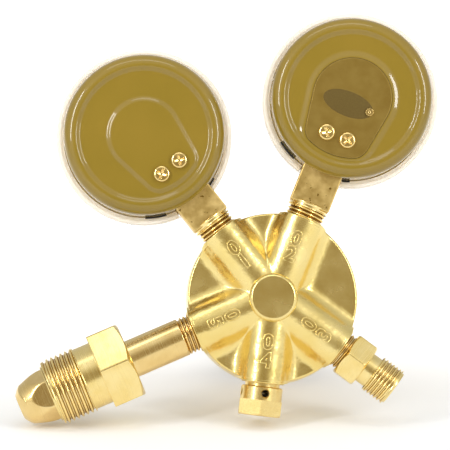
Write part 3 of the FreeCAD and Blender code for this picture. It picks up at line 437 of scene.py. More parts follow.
def port_place(port):
    """From a port's own drawing, +Z outwards and +Y to the back, to the frame."""
    turn = Matrix.Rotation(-math.radians(port_angles[port]), 4, "Y")
    return Matrix.Scale(mm, 4) @ turn @ Matrix.Translation((0, -port_plane, 0))


def gauge_place(port):
    """From a gauge as its dial is seen, x right, y up, z forwards, to the frame."""
    lift = Matrix.Translation((0, gauge_axis_depth, gauge_reach[port]))
    return port_place(port) @ lift @ Matrix.Rotation(math.pi / 2, 4, "X")


def step(value, low, high):
    """Smooth rise from 0 to 1 between two values."""
    share = np.clip((value - low) / (high - low), 0, 1)
    return share * share * (3 - 2 * share)


def round_angles(count):
    """The angles of so many columns round a full turn, in radians."""
    return np.arange(count) * 2 * math.pi / count


def rounded(points, radius=0.25, closed=False, steps=3, radii=None):
    """Profile with round corners. Each corner gets points just outside its arc, which keep the flats flat.
    radii gives a corner its own radius by index."""
    result = []
    count = len(points)
    for k, here in enumerate(points):
        size = (radii or {}).get(k, radius)
        here = Vector(here)
        before = Vector(points[k - 1]) - here
        after = Vector(points[(k + 1) % count]) - here
        end_point = not closed and k in (0, count - 1)
        if end_point or size <= 0 or before.angle(after, math.pi) > math.radians(172):
            result.append(points[k])
            continue
        angle = before.angle(after, math.pi)
        cut = min(size / math.tan(angle / 2), 0.42 * before.length, 0.42 * after.length)
        size = cut * math.tan(angle / 2)
        before.normalize()
        after.normalize()
        middle = here + (before + after).normalized() * (size / math.sin(angle / 2))
        start = here + before * cut
        end = here + after * cut
        shy = min(0.15, cut * 0.3)
        first, last = start - middle, end - middle
        arms = [first] + [first.slerp(last, part / steps) for part in range(1, steps)] + [last]
        result.append(tuple(start + before * shy))
        result += [tuple(middle + arm) for arm in arms]
        result.append(tuple(end + after * shy))
    return result


def round_over(reach, height, size, first, count):
    """Rings of a round edge that turns from flat, at a reach and height, to upright."""
    return [(reach + size * math.sin(turn), height + size - size * math.cos(turn))
            for turn in np.linspace(first, math.pi / 2, count)]


def ring_mesh(name, rings, angles=96, closed=False):
    """Mesh from rings round Z. A ring is (radius, height), each a number or one number per column; a
    ring of radius 0 closes the mesh in a point. angles is a count or the columns' angles in radians."""
    if isinstance(angles, int):
        angles = round_angles(angles)
    columns = len(angles)
    vertices, faces, index, flow, uvs, uv_v = [], [], [], [], [], 0.0
    last = None
    for radius, height in rings:
        radius = np.broadcast_to(np.asarray(radius, float), columns)
        height = np.broadcast_to(np.asarray(height, float), columns)
        if last is not None:
            uv_v += float(np.mean(np.hypot(radius - last[0], height - last[1])))
        last = (radius, height)
        flow.append(uv_v)
        if np.all(radius < 1e-9):
            index.append([len(vertices)] * columns)
            vertices.append((0.0, 0.0, float(height[0])))
        else:
            index.append(list(range(len(vertices), len(vertices) + columns)))
            vertices += list(zip(radius * np.cos(angles), radius * np.sin(angles), height))
    for ring in range(len(rings) if closed else len(rings) - 1):
        low, high = index[ring], index[(ring + 1) % len(rings)]
        low_v = flow[ring]
        high_v = flow[ring + 1] if ring + 1 < len(rings) else flow[ring] + 0.5
        for k in range(columns):
            after = (k + 1) % columns
            left = angles[k]
            right = angles[after] + (2 * math.pi if after == 0 else 0)
            face = [low[k], low[after], high[after], high[k]]
            spots = [(left, low_v), (right, low_v), (right, high_v), (left, high_v)]
            kept = [(v, s) for j, (v, s) in enumerate(zip(face, spots)) if v not in face[:j]]
            if len(kept) > 2:
                faces.append([v for v, s in kept])
                uvs += [(s[0] * 0.01, s[1] * mm) for v, s in kept]
    mesh = bpy.data.meshes.new(name)
    mesh.from_pydata(vertices, [], faces)
    layer = mesh.uv_layers.new(name=turning_map)
    layer.data.foreach_set("uv", np.array(uvs, np.float32).ravel())
    return mesh


def turned_mesh(name, points, angles=96, closed=False, radius=0.25, radii=None):
    return ring_mesh(name, rounded(points, radius, closed, radii=radii), angles, closed)


def weld(mesh, reach=None, outwards=True):
    """Joins the points of a mesh that lie within reach of each other and turns its faces outwards."""
    shell = bmesh.new()
    shell.from_mesh(mesh)
    if reach:
        bmesh.ops.remove_doubles(shell, verts=shell.verts, dist=reach)
    if outwards:
        bmesh.ops.recalc_face_normals(shell, faces=shell.faces)
    shell.to_mesh(mesh)
    shell.free()


def settle(name, meshes, place, material, body="regulator", replaces=None, smooth=True):
    """Joins meshes, places them in the frame in metres and fits them to a body. A piece with the name of a
    node before "_piece" replaces that node."""
    joined = bmesh.new()
    for part in meshes:
        weld(part, 1e-5)
        if turning_map not in part.uv_layers:
            part.uv_layers.new(name=turning_map)
        joined.from_mesh(part)
        bpy.data.meshes.remove(part)
    mesh = bpy.data.meshes.new(name)
    joined.to_mesh(mesh)
    joined.free()
    mesh.transform(place)
    if smooth:
        mesh.shade_smooth()
    mesh.materials.clear()
    mesh.materials.append(material)
    piece = new_object(name, mesh)
    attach(piece, body)
    if name.endswith("_piece"):
        replaces = name.removesuffix("_piece")
    if replaces:
        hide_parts(replaces)
    return piece


def smooth_copy(node, material, sharp_degrees=32.0):
    """The CAD piece with its triangles joined and its curved faces shaded smooth, in a better finish."""
    source = frame["nodes"][node]
    mesh = source.data.copy()
    weld(mesh, 2e-6, False)
    if mesh.attributes.get("custom_normal"):
        mesh.attributes.remove(mesh.attributes["custom_normal"])
    mesh.materials.clear()
    mesh.materials.append(material)
    mesh.shade_smooth()
    mesh.set_sharp_from_angle(angle=math.radians(sharp_degrees))
    piece = new_object(node + "_piece", mesh)
    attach(piece, source["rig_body"])
    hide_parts(node)


def made_plain(holder):
    """The finished mesh of a helper object, which is then removed."""
    graph = bpy.context.evaluated_depsgraph_get()
    mesh = bpy.data.meshes.new_from_object(holder.evaluated_get(graph))
    bpy.data.objects.remove(holder)
    return mesh


def grown(tree, values, start=None):
    """Runs a Geometry Nodes tree with these values and returns its result as a plain mesh."""
    holder = new_object("maker", start or bpy.data.meshes.new("maker"))
    modifier = holder.modifiers.new("maker", "NODES")
    modifier.node_group = tree
    for item in tree.interface.items_tree:
        if item.item_type == "SOCKET" and item.in_out == "INPUT" and item.name in values:
            modifier[item.identifier] = values[item.name]
    return made_plain(holder)


# Geometry Nodes


def new_tree(name, sizes):
    """Geometry Nodes tree with named inputs, from a dictionary of name to default. A whole number makes an
    Integer input and None a Material input. Returns the inputs, a function that adds a node, a function
    that does sums and a function that ends the tree."""
    tree = bpy.data.node_groups.new(name, "GeometryNodeTree")
    put = functools.partial(add, tree)
    tree.interface.new_socket("Geometry", in_out="INPUT", socket_type="NodeSocketGeometry")
    for key, value in sizes.items():
        kind = {int: "Int", float: "Float"}.get(type(value), "Material")
        socket = tree.interface.new_socket(key, in_out="INPUT", socket_type="NodeSocket" + kind)
        if value is not None:
            socket.default_value = value
    tree.interface.new_socket("Geometry", in_out="OUTPUT", socket_type="NodeSocketGeometry")
    given = put("NodeGroupInput").outputs

    def reckon(kind, first, second=0.0):
        return put("ShaderNodeMath", {0: first, 1: second}, operation=kind)

    def close(geometry):
        real = put("GeometryNodeRealizeInstances", {"Geometry": geometry})
        put("NodeGroupOutput", {0: put("GeometryNodeSetMaterial", {"Geometry": real,
                                                                   "Material": given["Material"]})})
        return tree

    return given, put, reckon, close


def thread_tree():
    """A screw thread's ridge: a spiral with a pointed section, which sinks into the core at both ends."""
    given, put, reckon, close = new_tree("screw_thread", {
        "Root Radius": 10.0, "End Radius": 10.0, "Pitch": 1.5, "Turns": 6.0, "Ridge Height": 0.9,
        "Crest Width": 0.2, "Run Out": 0.35, "Steps per Turn": 72, "Material": None})
    spiral = put("GeometryNodeCurveSpiral", {
        "Resolution": given["Steps per Turn"], "Rotations": given["Turns"],
        "Start Radius": given["Root Radius"], "End Radius": given["End Radius"],
        "Height": reckon("MULTIPLY", given["Pitch"], given["Turns"])})
    along = put("GeometryNodeSplineParameter").outputs["Factor"]
    nearest = reckon("MINIMUM", along, reckon("SUBTRACT", 1.0, along))
    turns_in = reckon("DIVIDE", reckon("MULTIPLY", nearest, given["Turns"]), given["Run Out"])
    share = reckon("MINIMUM", turns_in, 1.0)
    depth = reckon("MULTIPLY", reckon("SUBTRACT", share, 1.0), given["Ridge Height"])
    spot = put("GeometryNodeInputPosition")
    flat = put("ShaderNodeVectorMath", {0: spot, 1: (1, 1, 0)}, operation="MULTIPLY")
    outwards = put("ShaderNodeVectorMath", {0: flat}, operation="NORMALIZE")
    sunk = put("ShaderNodeVectorMath", {0: outwards, "Scale": depth}, operation="SCALE")
    placed = put("GeometryNodeSetPosition", {"Geometry": spiral, "Offset": sunk})
    upright = put("GeometryNodeSetCurveNormal", {"Curve": placed}, mode="Z_UP")
    sink = 0.15
    tall = reckon("ADD", given["Ridge Height"], sink)
    section = put("GeometryNodeCurvePrimitiveQuadrilateral", {
        "Bottom Width": reckon("MULTIPLY", given["Pitch"], 0.94), "Top Width": given["Crest Width"],
        "Offset": 0.0, "Height": tall}, mode="TRAPEZOID")
    # the curve's normal points inwards, so outwards is -X here
    offset = put("ShaderNodeCombineXYZ", {"X": reckon("SUBTRACT", sink, reckon("MULTIPLY", tall, 0.5))})
    turned_section = put("GeometryNodeTransform", {"Geometry": section, "Translation": offset,
                                                   "Rotation": (0, 0, math.pi / 2)})
    return close(put("GeometryNodeCurveToMesh", {"Curve": upright, "Profile Curve": turned_section,
                                                 "Fill Caps": True}))


def coil_tree():
    """A compression spring with a closed turn at each end."""
    given, put, reckon, close = new_tree("coil_spring", {
        "Mean Radius": 9.4, "Wire Radius": 1.4, "Length": 27.7, "Turns": 6.5, "Steps per Turn": 40,
        "Wire Sides": 12, "Material": None})
    wire, turns = given["Wire Radius"], given["Turns"]
    spiral = put("GeometryNodeCurveSpiral", {
        "Resolution": given["Steps per Turn"], "Rotations": turns, "Start Radius": given["Mean Radius"],
        "End Radius": given["Mean Radius"], "Height": 1.0})
    done = reckon("MULTIPLY", put("GeometryNodeSplineParameter").outputs["Factor"], turns)
    closed_rise = reckon("MULTIPLY", wire, 2.1)
    middle_turns = reckon("SUBTRACT", turns, 2.0)
    free = reckon("SUBTRACT", given["Length"], reckon("MULTIPLY", wire, 6.2))
    first = reckon("MULTIPLY", reckon("MINIMUM", done, 1.0), closed_rise)
    inner = reckon("MAXIMUM", reckon("MINIMUM", reckon("SUBTRACT", done, 1.0), middle_turns), 0.0)
    second = reckon("MULTIPLY", inner, reckon("DIVIDE", free, middle_turns))
    outer = reckon("MAXIMUM", reckon("SUBTRACT", done, reckon("SUBTRACT", turns, 1.0)), 0.0)
    third = reckon("MULTIPLY", outer, closed_rise)
    height = reckon("ADD", reckon("ADD", first, second), reckon("ADD", third, wire))
    spot = put("ShaderNodeSeparateXYZ", {0: put("GeometryNodeInputPosition")}).outputs
    risen = put("ShaderNodeCombineXYZ", {"X": spot[0], "Y": spot[1], "Z": height})
    placed = put("GeometryNodeSetPosition", {"Geometry": spiral, "Position": risen})
    ring = put("GeometryNodeCurvePrimitiveCircle", {"Resolution": given["Wire Sides"], "Radius": wire})
    return close(put("GeometryNodeCurveToMesh", {"Curve": placed, "Profile Curve": ring, "Fill Caps": True}))


def tick_tree():
    """Marks round a dial: flat bars on an arc, the same angle apart."""
    given, put, reckon, close = new_tree("dial_ticks", {
        "Count": 41, "First Angle": 3.9, "Step": -0.1, "Outer Radius": 24.0, "Length": 2.0, "Width": 0.25,
        "Thickness": 0.06, "Height": dial_face, "Material": None})
    angle = reckon("ADD", reckon("MULTIPLY", put("GeometryNodeInputIndex"), given["Step"]),
                   given["First Angle"])
    radius = reckon("SUBTRACT", given["Outer Radius"], reckon("MULTIPLY", given["Length"], 0.5))
    spot = put("ShaderNodeCombineXYZ", {
        "X": reckon("MULTIPLY", reckon("COSINE", angle), radius),
        "Y": reckon("MULTIPLY", reckon("SINE", angle), radius), "Z": given["Height"]})
    points = put("GeometryNodePoints", {"Count": given["Count"]})
    placed = put("GeometryNodeSetPosition", {"Geometry": points, "Position": spot})
    size = put("ShaderNodeCombineXYZ", {"X": given["Length"], "Y": given["Width"], "Z": given["Thickness"]})
    bar = put("GeometryNodeMeshCube", {"Size": size})
    return close(put("GeometryNodeInstanceOnPoints", {
        "Points": placed, "Instance": bar, "Rotation": put("ShaderNodeCombineXYZ", {"Z": angle})}))


def row_tree():
    """A row of one piece: the piece comes in as Geometry, and each stands a little more turned."""
    given, put, reckon, close = new_tree("fastener_row", {
        "Count": 2, "Start X": -4.0, "Step X": 8.0, "Y": -15.2, "Turn per Piece": 0.6, "Material": None})
    number = put("GeometryNodeInputIndex")
    spot = put("ShaderNodeCombineXYZ", {
        "X": reckon("ADD", reckon("MULTIPLY", number, given["Step X"]), given["Start X"]),
        "Y": given["Y"]})
    points = put("GeometryNodePoints", {"Count": given["Count"]})
    placed = put("GeometryNodeSetPosition", {"Geometry": points, "Position": spot})
    turn = put("ShaderNodeCombineXYZ", {"Z": reckon("MULTIPLY", number, given["Turn per Piece"])})
    return close(put("GeometryNodeInstanceOnPoints", {
        "Points": placed, "Instance": given["Geometry"], "Rotation": turn}))


def thread_ridge(major, pitch, start, end, material, end_major=None, height=None, steps=72):
    """Ridge of an outside thread from start to end, inside the major radius."""
    height = height or 0.5 * pitch
    mesh = grown(threads, {
        "Root Radius": major - height, "End Radius": (end_major or major) - height, "Pitch": pitch,
        "Turns": (end - start) / pitch, "Ridge Height": height, "Crest Width": 0.2 * pitch,
        "Run Out": 0.4, "Steps per Turn": steps, "Material": material})
    mesh.transform(Matrix.Translation((0, 0, start)))
    return mesh


def hexagon_corner(flats, corner):
    """Where a hexagon's round corner has its centre, and half the angle that it takes up."""
    centre = (flats / 2 - corner) / math.cos(math.pi / 6)
    return centre, math.atan2(corner / 2, centre + corner * math.cos(math.pi / 6))


def hexagon_angles(flats, corner):
    """Columns for a hexagon with round corners: close together at the corners."""
    bend = math.degrees(hexagon_corner(flats, corner)[1])
    near = np.array([-1.6, -1.0, -0.66, -0.33, 0.0, 0.33, 0.66, 1.0, 1.6]) * bend
    side = np.concatenate([near, np.linspace(1.6 * bend, 60 - 1.6 * bend, 10)[1:-1]])
    return np.radians(np.concatenate([hexagon_first_corner + 60 * k + side for k in range(6)]))


def hexagon_radius(angles, flats, corner):
    """Distance from the axis to a hexagon with round corners."""
    off = np.radians(np.abs((np.degrees(angles) - hexagon_first_corner + 30.0) % 60.0 - 30.0))
    centre, bend = hexagon_corner(flats, corner)
    at_corner = centre * np.cos(off) + np.sqrt(np.maximum(corner ** 2 - (centre * np.sin(off)) ** 2, 0))
    at_flat = flats / 2 / np.cos(math.pi / 6 - off)
    return np.where(off < bend, at_corner, at_flat)


def hexagon_rings(angles, flats, start, end, chamfer_end, edge, corner=0.6):
    """Rings of a hexagonal bar whose corners are turned off at 30 degrees at its start, and at its end
    where chamfer_end says so."""
    radius = hexagon_radius(angles, flats, corner)
    low = flats / 2 * 0.96
    rise = (radius - low) * math.tan(math.radians(30))
    turned_off = [(low - edge, 0), (low, 0.02), (radius - 0.04, rise - 0.03), (radius, rise + 0.08),
                  (radius, rise + 0.25)]
    plain = [(radius - edge * 2, 0), (radius - edge, 0), (radius - 0.03, 0.04), (radius, edge),
             (radius, edge * 2)]
    return [(r, start + h) for r, h in turned_off] + [
        (r, end - h) for r, h in reversed(turned_off if chamfer_end else plain)]


make_camera()
make_studio()

# Forged brass, tumbled and buffed: a satin shine over soft waves, with a faint grain
brass_forged = clouded("forged_brass", "#F1D98E", 1.0, 0.24, (90, 3.0), ("#EDD383", "#F4DE98"), (0.20, 0.30),
                       bumps=((230, 2.0, 0.00022), (2600, 3.0, 0.00001)))[0]
brass_turned = turned_brass("turned_brass", "#EACB7E", "#F3DA95", 0.00022, 0.2)
brass_nut = turned_brass("turned_nut_brass", "#F0D588", "#F8E2A0", 0.0003, 0.22)
brass_stem = turned_brass("turned_stem_brass", "#E6C784", "#F1D697", 0.00025, 0.2)
brass_small = plain_brass("machined_brass", "#E8CB80", "#F2DA95", 0.26)
brass_relief = plain_brass("milled_relief_brass", "#EACD84", "#F3DA95", 0.26, 0.000003, 4200)
brass_bonnet = turned_brass("turned_bonnet_brass", "#E8C97E", "#F2D793", 0.0004, 0.26)
brass_screw = plain_brass("bright_screw_brass", "#E9CB84", "#F2D793", 0.14, 0.000004)
brass_socket = socket_brass()
enamel_gold = gold_lacquer()
plastic_clear = clear_plastic()
# Moulded black rubber: matt, with a fine bloom
rubber_black = clouded("black_rubber", "#161514", 0.0, 0.7, (1400, 3.0), ("#121110", "#23211F"),
                       bumps=((1400, 3.0, 0.000015),))[0]
# Printed sheet dial: white enamel, almost flat, faintly glossy
enamel_white = clouded("white_dial_enamel", "#F1F0EA", 0.0, 0.34, (500, 2.0), ("#EEEDE6", "#F4F3EE"),
                       (0.3, 0.4))[0]
# Printing ink and the hand's stove enamel: near black, satin
enamel_black = clouded("black_enamel", "#17171A", 0.0, 0.38, (900, 2.0), ("#131316", "#1E1E22"),
                       (0.32, 0.46))[0]
# Moulded nylon knob: black, a spark-eroded grain with slightly polished crests
nylon_black = clouded("black_nylon", "#1B1B1C", 0.0, 0.5, (120, 2.0), ("#171718", "#222223"), (0.44, 0.56),
                      bumps=((2200, 3.0, 0.00003),))[0]
steel_plated = plated_steel("zinc_plated_steel", "#B9BBBC", "#CBCCCB", 0.28)
steel_spring = plated_steel("spring_steel", "#8C8D8F", "#A5A6A8", 0.32)
# Seat disc in moulded fluoroplastic: milky, waxy
plastic_seat = clouded("seat_plastic", "#E8E6DF", 0.0, 0.4, (600, 2.0), ("#E2E0D8", "#EDEBE5"),
                       **{"Subsurface Weight": 0.1})[0]
bronze_filter = sintered_bronze()

threads = thread_tree()
coils = coil_tree()
ticks = tick_tree()
rows = row_tree()

body_place = Matrix.Scale(mm, 4) @ Matrix.Rotation(math.pi / 2, 4, "X")


# Body


def arm_height(side, crest=9.15, fillet=8.0, half_width=11.7):
    """Height of one arm above the port plane, by distance from its middle: a round crest, then a hollow
    fillet that the flat back cuts off at an edge."""
    side = np.abs(side)
    flat = port_plane - back_depth
    foot = math.hypot(half_width, flat)
    share = ((crest + fillet) ** 2 + foot ** 2 - fillet ** 2) / (2 * (crest + fillet) * foot)
    turn = math.atan2(flat, half_width) + math.acos(share)
    centre_side, centre_height = (crest + fillet) * math.cos(turn), (crest + fillet) * math.sin(turn)
    meet = crest * math.cos(turn)
    round_top = np.sqrt(np.maximum(crest ** 2 - np.minimum(side, meet) ** 2, 0))
    inwards = centre_side - np.clip(side, meet, half_width)
    hollow = centre_height - np.sqrt(fillet ** 2 - inwards ** 2)
    return np.where(side < meet, round_top, hollow) - 0.5 * np.maximum(side - half_width, 0)


def back_height(x, z, valley=2.0, edge=4.0):
    """Height of the forging's back above the port plane: five arms that run together in soft valleys, cut
    off by the flat back at a crisp edge. valley and edge say how sharp these meetings are, per mm."""
    flat = port_plane - back_depth
    # near the crests' height, so that the exponentials stay small
    level, boss_drop = 8.0, 14.0
    total = 0.0
    for angle in port_angles.values():
        turn = math.radians(angle)
        along = -x * math.sin(turn) + z * math.cos(turn)
        across = x * math.cos(turn) + z * math.sin(turn)
        # behind the axis an arm runs out under the boss
        height = arm_height(across) - boss_drop * (1 - step(along, -8.0, 4.0))
        total = total + np.exp(valley * (height - level))
    arms = level + np.log(total) / valley
    return flat + np.log(1 + np.exp(edge * np.clip(arms - flat, -4, 30))) / edge


def forging():
    """The body: a polar height field for the back, a tapered rim, the chamber, port ends and the boss."""
    angles = round_angles(900)
    back_radius, edge_round = 29.9, 0.8

    def depth_at(radius):
        # drawn with +Z forwards, so the drawing's y is the frame's z
        return port_plane - back_height(radius * np.cos(angles), radius * np.sin(angles))

    # the wall is flat across each port
    wall_limit = np.full(len(angles), 99.0)
    for angle in port_angles.values():
        turn = math.radians(angle) + math.pi / 2
        off = np.arctan2(np.sin(angles - turn), np.cos(angles - turn))
        face = np.minimum(wall_limit, (port_face - 0.02) / np.cos(off))
        wall_limit = np.where(np.abs(off) < 0.31, face, wall_limit)

    radii = list(np.linspace(4.0, 29.6, 74)) + [back_radius]
    edge = depth_at(back_radius)
    rings = [(0, float(depth_at(1e-6)[0]))] + [(r, depth_at(r)) for r in radii]
    rings += round_over(back_radius, edge, edge_round, 0.12, 8)
    for share in (0.05, 0.3, 0.6, 0.9):
        depth = edge + edge_round + share * (rim_depth - edge - edge_round)
        wall = rim_rear_radius + (rim_front_radius - rim_rear_radius) * (
            (depth - back_depth) / (rim_depth - back_depth))
        rings.append((np.minimum(np.maximum(wall, rim_rear_radius), wall_limit), depth))
    rings += [(np.minimum(rim_front_radius, wall_limit), 21.2), (rim_front_radius - 0.1, 21.42),
              (rim_front_radius - 0.35, 21.5), (27.9, 21.5), (27.5, 21.6), (27.5, 28.6), (27.2, 29.0),
              (21.3, 29.0), (21.0, 28.8), (21.0, 26.0), (6.4, 26.0), (6.0, 25.8), (6.0, 18.5),
              (5.0, 18.5), (5.0, 5.4), (4.6, 5.0), (1.75, 5.0), (1.6, 4.85), (1.6, 2.0), (0.0, 2.0)]
    boss = [(0, 0), (boss_radius, 0), (boss_radius, 10.5), (0, 10.5)]
    meshes = [ring_mesh("forging", rings, angles),
              turned_mesh("flat_boss", boss, 128, radii={1: 1.15}, radius=0.2)]
    for mesh in meshes:
        mesh.transform(Matrix.Rotation(math.pi / 2, 4, "X"))
    for port in port_angles:
        meshes.append(port_end())
        meshes[-1].transform(Matrix.Scale(1 / mm, 4) @ port_place(port))
        meshes += port_number(port)
    settle("forged_body", meshes, Matrix.Scale(mm, 4), brass_forged, replaces="body")


def port_end():
    """Round end of an arm: turned with the body's outside, faced flat across the port and countersunk."""
    angles = round_angles(192)
    outer, lip = 9.13, 0.3

    def end_at(radius):
        turned = np.sqrt(arm_end_radius ** 2 - (radius * np.cos(angles)) ** 2)
        return np.minimum(turned, port_face)

    rings = [(0, 24.0), (9.0, 24.0), (outer, 24.2), (outer, 27.0), (outer, end_at(outer) - 0.45)]
    for turn in np.linspace(0, math.pi / 2, 5):
        reach = outer - lip + lip * math.cos(turn)
        rings.append((reach, end_at(reach) - lip + lip * math.sin(turn)))
    rings += [(r, end_at(r)) for r in np.linspace(8.7, 7.75, 5)]
    rings += [(7.6, port_face - 0.05), (7.5, port_face - 0.15), (6.9, 30.3), (6.5, 30.0), (0, 30.0)]
    return ring_mesh("port_end", rings, angles)


def text_mesh(words, size, **settings):
    """Flat or tubular lettering, as a mesh about its own middle."""
    text = bpy.data.curves.new("text", "FONT")
    text.body = words
    text.size = size
    text.align_x = "CENTER"
    text.align_y = "CENTER"
    for name, value in settings.items():
        setattr(text, name, value)
    mesh = made_plain(new_object("text", text))
    spots = np.array([v.co for v in mesh.vertices])
    middle = (spots.min(0) + spots.max(0)) / 2
    mesh.transform(Matrix.Translation((-middle[0], -middle[1], 0)))
    return mesh


def port_number(port):
    """Two digits in raised outline on an arm's crest. They read upright, on the upper and lower arms."""
    digits = "0" + str(list(port_angles).index(port) + 1)
    upper = port in ("high", "low")
    spots = (22.9, 16.9) if upper else (16.0, 22.6)
    turn = math.radians(port_angles[port])
    flip = 1 if upper else -1
    meshes = []
    for digit, along in zip(digits, spots):
        mesh = text_mesh(digit, 7.4, fill_mode="NONE", bevel_depth=0.2, bevel_resolution=2, offset=0.28,
                         resolution_u=5)
        for vertex in mesh.vertices:
            # seen from the back, a character's right is the port drawing's -x
            across = -vertex.co.x * flip
            out = vertex.co.y * flip + along
            x = across * math.cos(turn) - out * math.sin(turn)
            z = across * math.sin(turn) + out * math.cos(turn)
            height = float(back_height(np.array([x]), np.array([z]))[0]) - port_plane
            vertex.co = (x, height + vertex.co.z, z)
        meshes.append(mesh)
    return meshes


forging()


# Inlet: nipple and nut


def bullet_radius(height):
    """Radius of the nipple's nose by distance from the body axis."""
    straight, bend_radius, drop = 9.6, 7.5, 3.1
    shoulder, bend = 88.2, 96.4
    first = straight - (straight - bend_radius) * np.clip((height - shoulder) / 8.2, 0, 1) ** 1.55
    second = bend_radius - drop * np.clip((height - bend) / 2.9, 0, 1) ** 1.5
    return np.where(height < bend, first, second)


def nipple():
    """Stem with a taper thread, and a bullet nose with six wrench flats and a counterbored mouth."""
    angles = round_angles(288)
    half_flats, softness = 8.45, 0.10
    flat = half_flats / np.cos(angles % (math.pi / 3) - math.pi / 6)
    rings = [(0, 20.0), (taper_root - 0.3, 20.0), (taper_root, 20.4), (taper_root, 34.7), (taper_root, 34.9),
             (6.6, 35.1), (6.85, 35.25), (6.95, 35.5), (6.95, 35.8), (6.95, 80.6), (7.1, 80.9), (7.3, 81.0),
             (9.2, 81.0), (9.45, 81.08), (9.58, 81.3), (9.6, 81.6), (9.6, 86.3), (9.55, 86.52), (9.45, 86.6)]
    for height in np.linspace(86.62, 98.9, 76):
        round_part = bullet_radius(height)
        both = -softness * np.log(np.exp(-flat / softness) + np.exp(-round_part / softness))
        rings.append((both, height))
    rings += [(4.7, 99.12), (4.35, 99.28), (4.0, 99.3), (3.5, 99.3), (3.3, 99.2), (3.2, 98.9), (3.2, 80.0),
              (0, 80.0)]
    place = port_place("inlet")
    settle("inlet_nipple_piece", [ring_mesh("nipple", rings, angles)], place, brass_stem)
    ridge = thread_ridge(taper_radius, taper_pitch, 27.5, 35.1, brass_stem, end_major=taper_radius + 0.1)
    settle("inlet_nipple_thread", [ridge], place,
           thread_brass("inlet_thread_brass", "inlet", taper_root, taper_radius, "#F0D08A", "#A97A35"))


def nut():
    """Union nut: hexagon with turned-off corners, plain collar and a right-hand thread."""
    flats, corner = 27.2, 1.0
    angles = hexagon_angles(flats, corner)
    hexagon = [(7.2, 56.0), (7.5, 55.62), (7.8, 55.5), (8.2, 55.5)] + hexagon_rings(
        angles, flats, 55.5, 67.5, False, 0.18, corner) + [(11.0, 67.5), (10.0, 67.45), (7.2, 67.0)]
    root = nut_thread_radius - nut_ridge
    barrel = rounded([(7.2, 60.0), (11.6, 60.0), (11.6, 73.9), (root, 74.3), (root, 85.9), (root - 0.9, 86.4),
                      (9.85, 86.4), (9.85, 80.7), (7.2, 80.7)], 0.2, True)
    meshes = [ring_mesh("nut_hexagon", hexagon, angles, True), ring_mesh("nut_barrel", barrel, 160, True)]
    place = port_place("inlet")
    settle("inlet_nut_piece", meshes, place, brass_nut, "inlet_nut")
    ridge = thread_ridge(nut_thread_radius, nut_pitch, 73.9, 86.2, brass_nut, height=nut_ridge, steps=96)
    settle("inlet_nut_thread", [ridge], place,
           thread_brass("nut_thread_brass", "inlet", root, nut_thread_radius), "inlet_nut")


nipple()
nut()


# Hose outlet


def outlet():
    """Taper thread, hexagon, neck and hose thread with a coned mouth."""
    flats = 16.0
    angles = hexagon_angles(flats, 0.4)
    hexagon = [(3.0, 33.4), (4.0, 33.2), (6.0, 33.2)] + hexagon_rings(
        angles, flats, 33.2, 41.6, True, 0.15) + [(6.0, 41.6), (4.0, 41.6), (3.0, 41.4)]
    stub = rounded([(3.0, 20.0), (taper_root, 20.0), (taper_root, 34.0), (3.0, 34.0)], 0.2, True)
    outer_root = hose_thread_radius - 0.5 * hose_pitch
    tail = rounded([(3.0, 41.0), (5.9, 41.0), (5.9, 45.7), (outer_root, 46.0), (outer_root, 53.5),
                    (outer_root - 0.4, 53.9), (5.3, 53.9), (3.0, 50.3)], 0.2, True)
    meshes = [ring_mesh("outlet_hexagon", hexagon, angles, True), ring_mesh("outlet_stub", stub, 96, True),
              ring_mesh("outlet_tail", tail, 128, True)]
    place = port_place("outlet")
    settle("outlet_fitting_piece", meshes, place, brass_nut)
    ridges = [thread_ridge(taper_radius, taper_pitch, 27.5, 33.6, brass_turned),
              thread_ridge(hose_thread_radius, hose_pitch, 45.7, 53.8, brass_turned)]
    settle("outlet_threads", ridges, place,
           thread_brass("outlet_thread_brass", "outlet", outer_root, hose_thread_radius))


outlet()


# Gauges


def pad_distance(x, y, radius, foot):
    """Signed distance to a pad's outline: round above, sides closing in below, round foot. Inside is
    negative, and the corners at the foot are rounded."""
    lean = math.radians(pad_side_angle)
    reach = np.hypot(x, y)
    leaning = np.abs(x) * math.cos(lean) - y * math.sin(lean) - radius
    side = np.where(y < -np.abs(x) * math.tan(lean), leaning, reach - radius)
    below = reach - foot
    outside = np.hypot(np.maximum(side + pad_corner, 0), np.maximum(below + pad_corner, 0))
    return outside - pad_corner + np.minimum(np.maximum(side, below) + pad_corner, 0)


def case(port, pad_radius, pad_foot, slope_in, slope_out):
    """Drawn and enamelled cup: a rounded crest round a shallow recess, a soft raised pad and a lens lip."""
    angles = round_angles(288)
    crest_radius, crest_round = 25.0, 4.0

    def depth_at(radius):
        x, y = radius * np.cos(angles), radius * np.sin(angles)
        recess = 1 - step(radius, 22.7, crest_radius)
        pad = 1 - step(pad_distance(x, y, pad_radius, pad_foot), -slope_in, slope_out)
        return np.minimum(recess, recess * (1 - pad) + 0.25 * pad)

    rings = [(0, 0.25)] + [(r, depth_at(r)) for r in np.linspace(0.8, crest_radius, 74)]
    rings += round_over(crest_radius, 0.0, crest_round, 0.05, 14)
    rings += [(29.0, 4.4), (29.0, 23.1), (29.0, 23.3), (29.1, 23.4), (30.1, 23.4), (30.35, 23.5),
              (30.4, 23.8), (30.4, 24.7), (30.3, 24.95), (30.1, 25.0), (28.5, 25.0), (28.25, 24.9),
              (28.2, 24.6), (28.2, 4.5), (27.6, 2.6), (26.0, 1.8), (23.0, 1.8), (0, 1.8)]
    settle(port + "_case_piece", [ring_mesh("case", rings, angles)], gauge_place(port), enamel_gold)


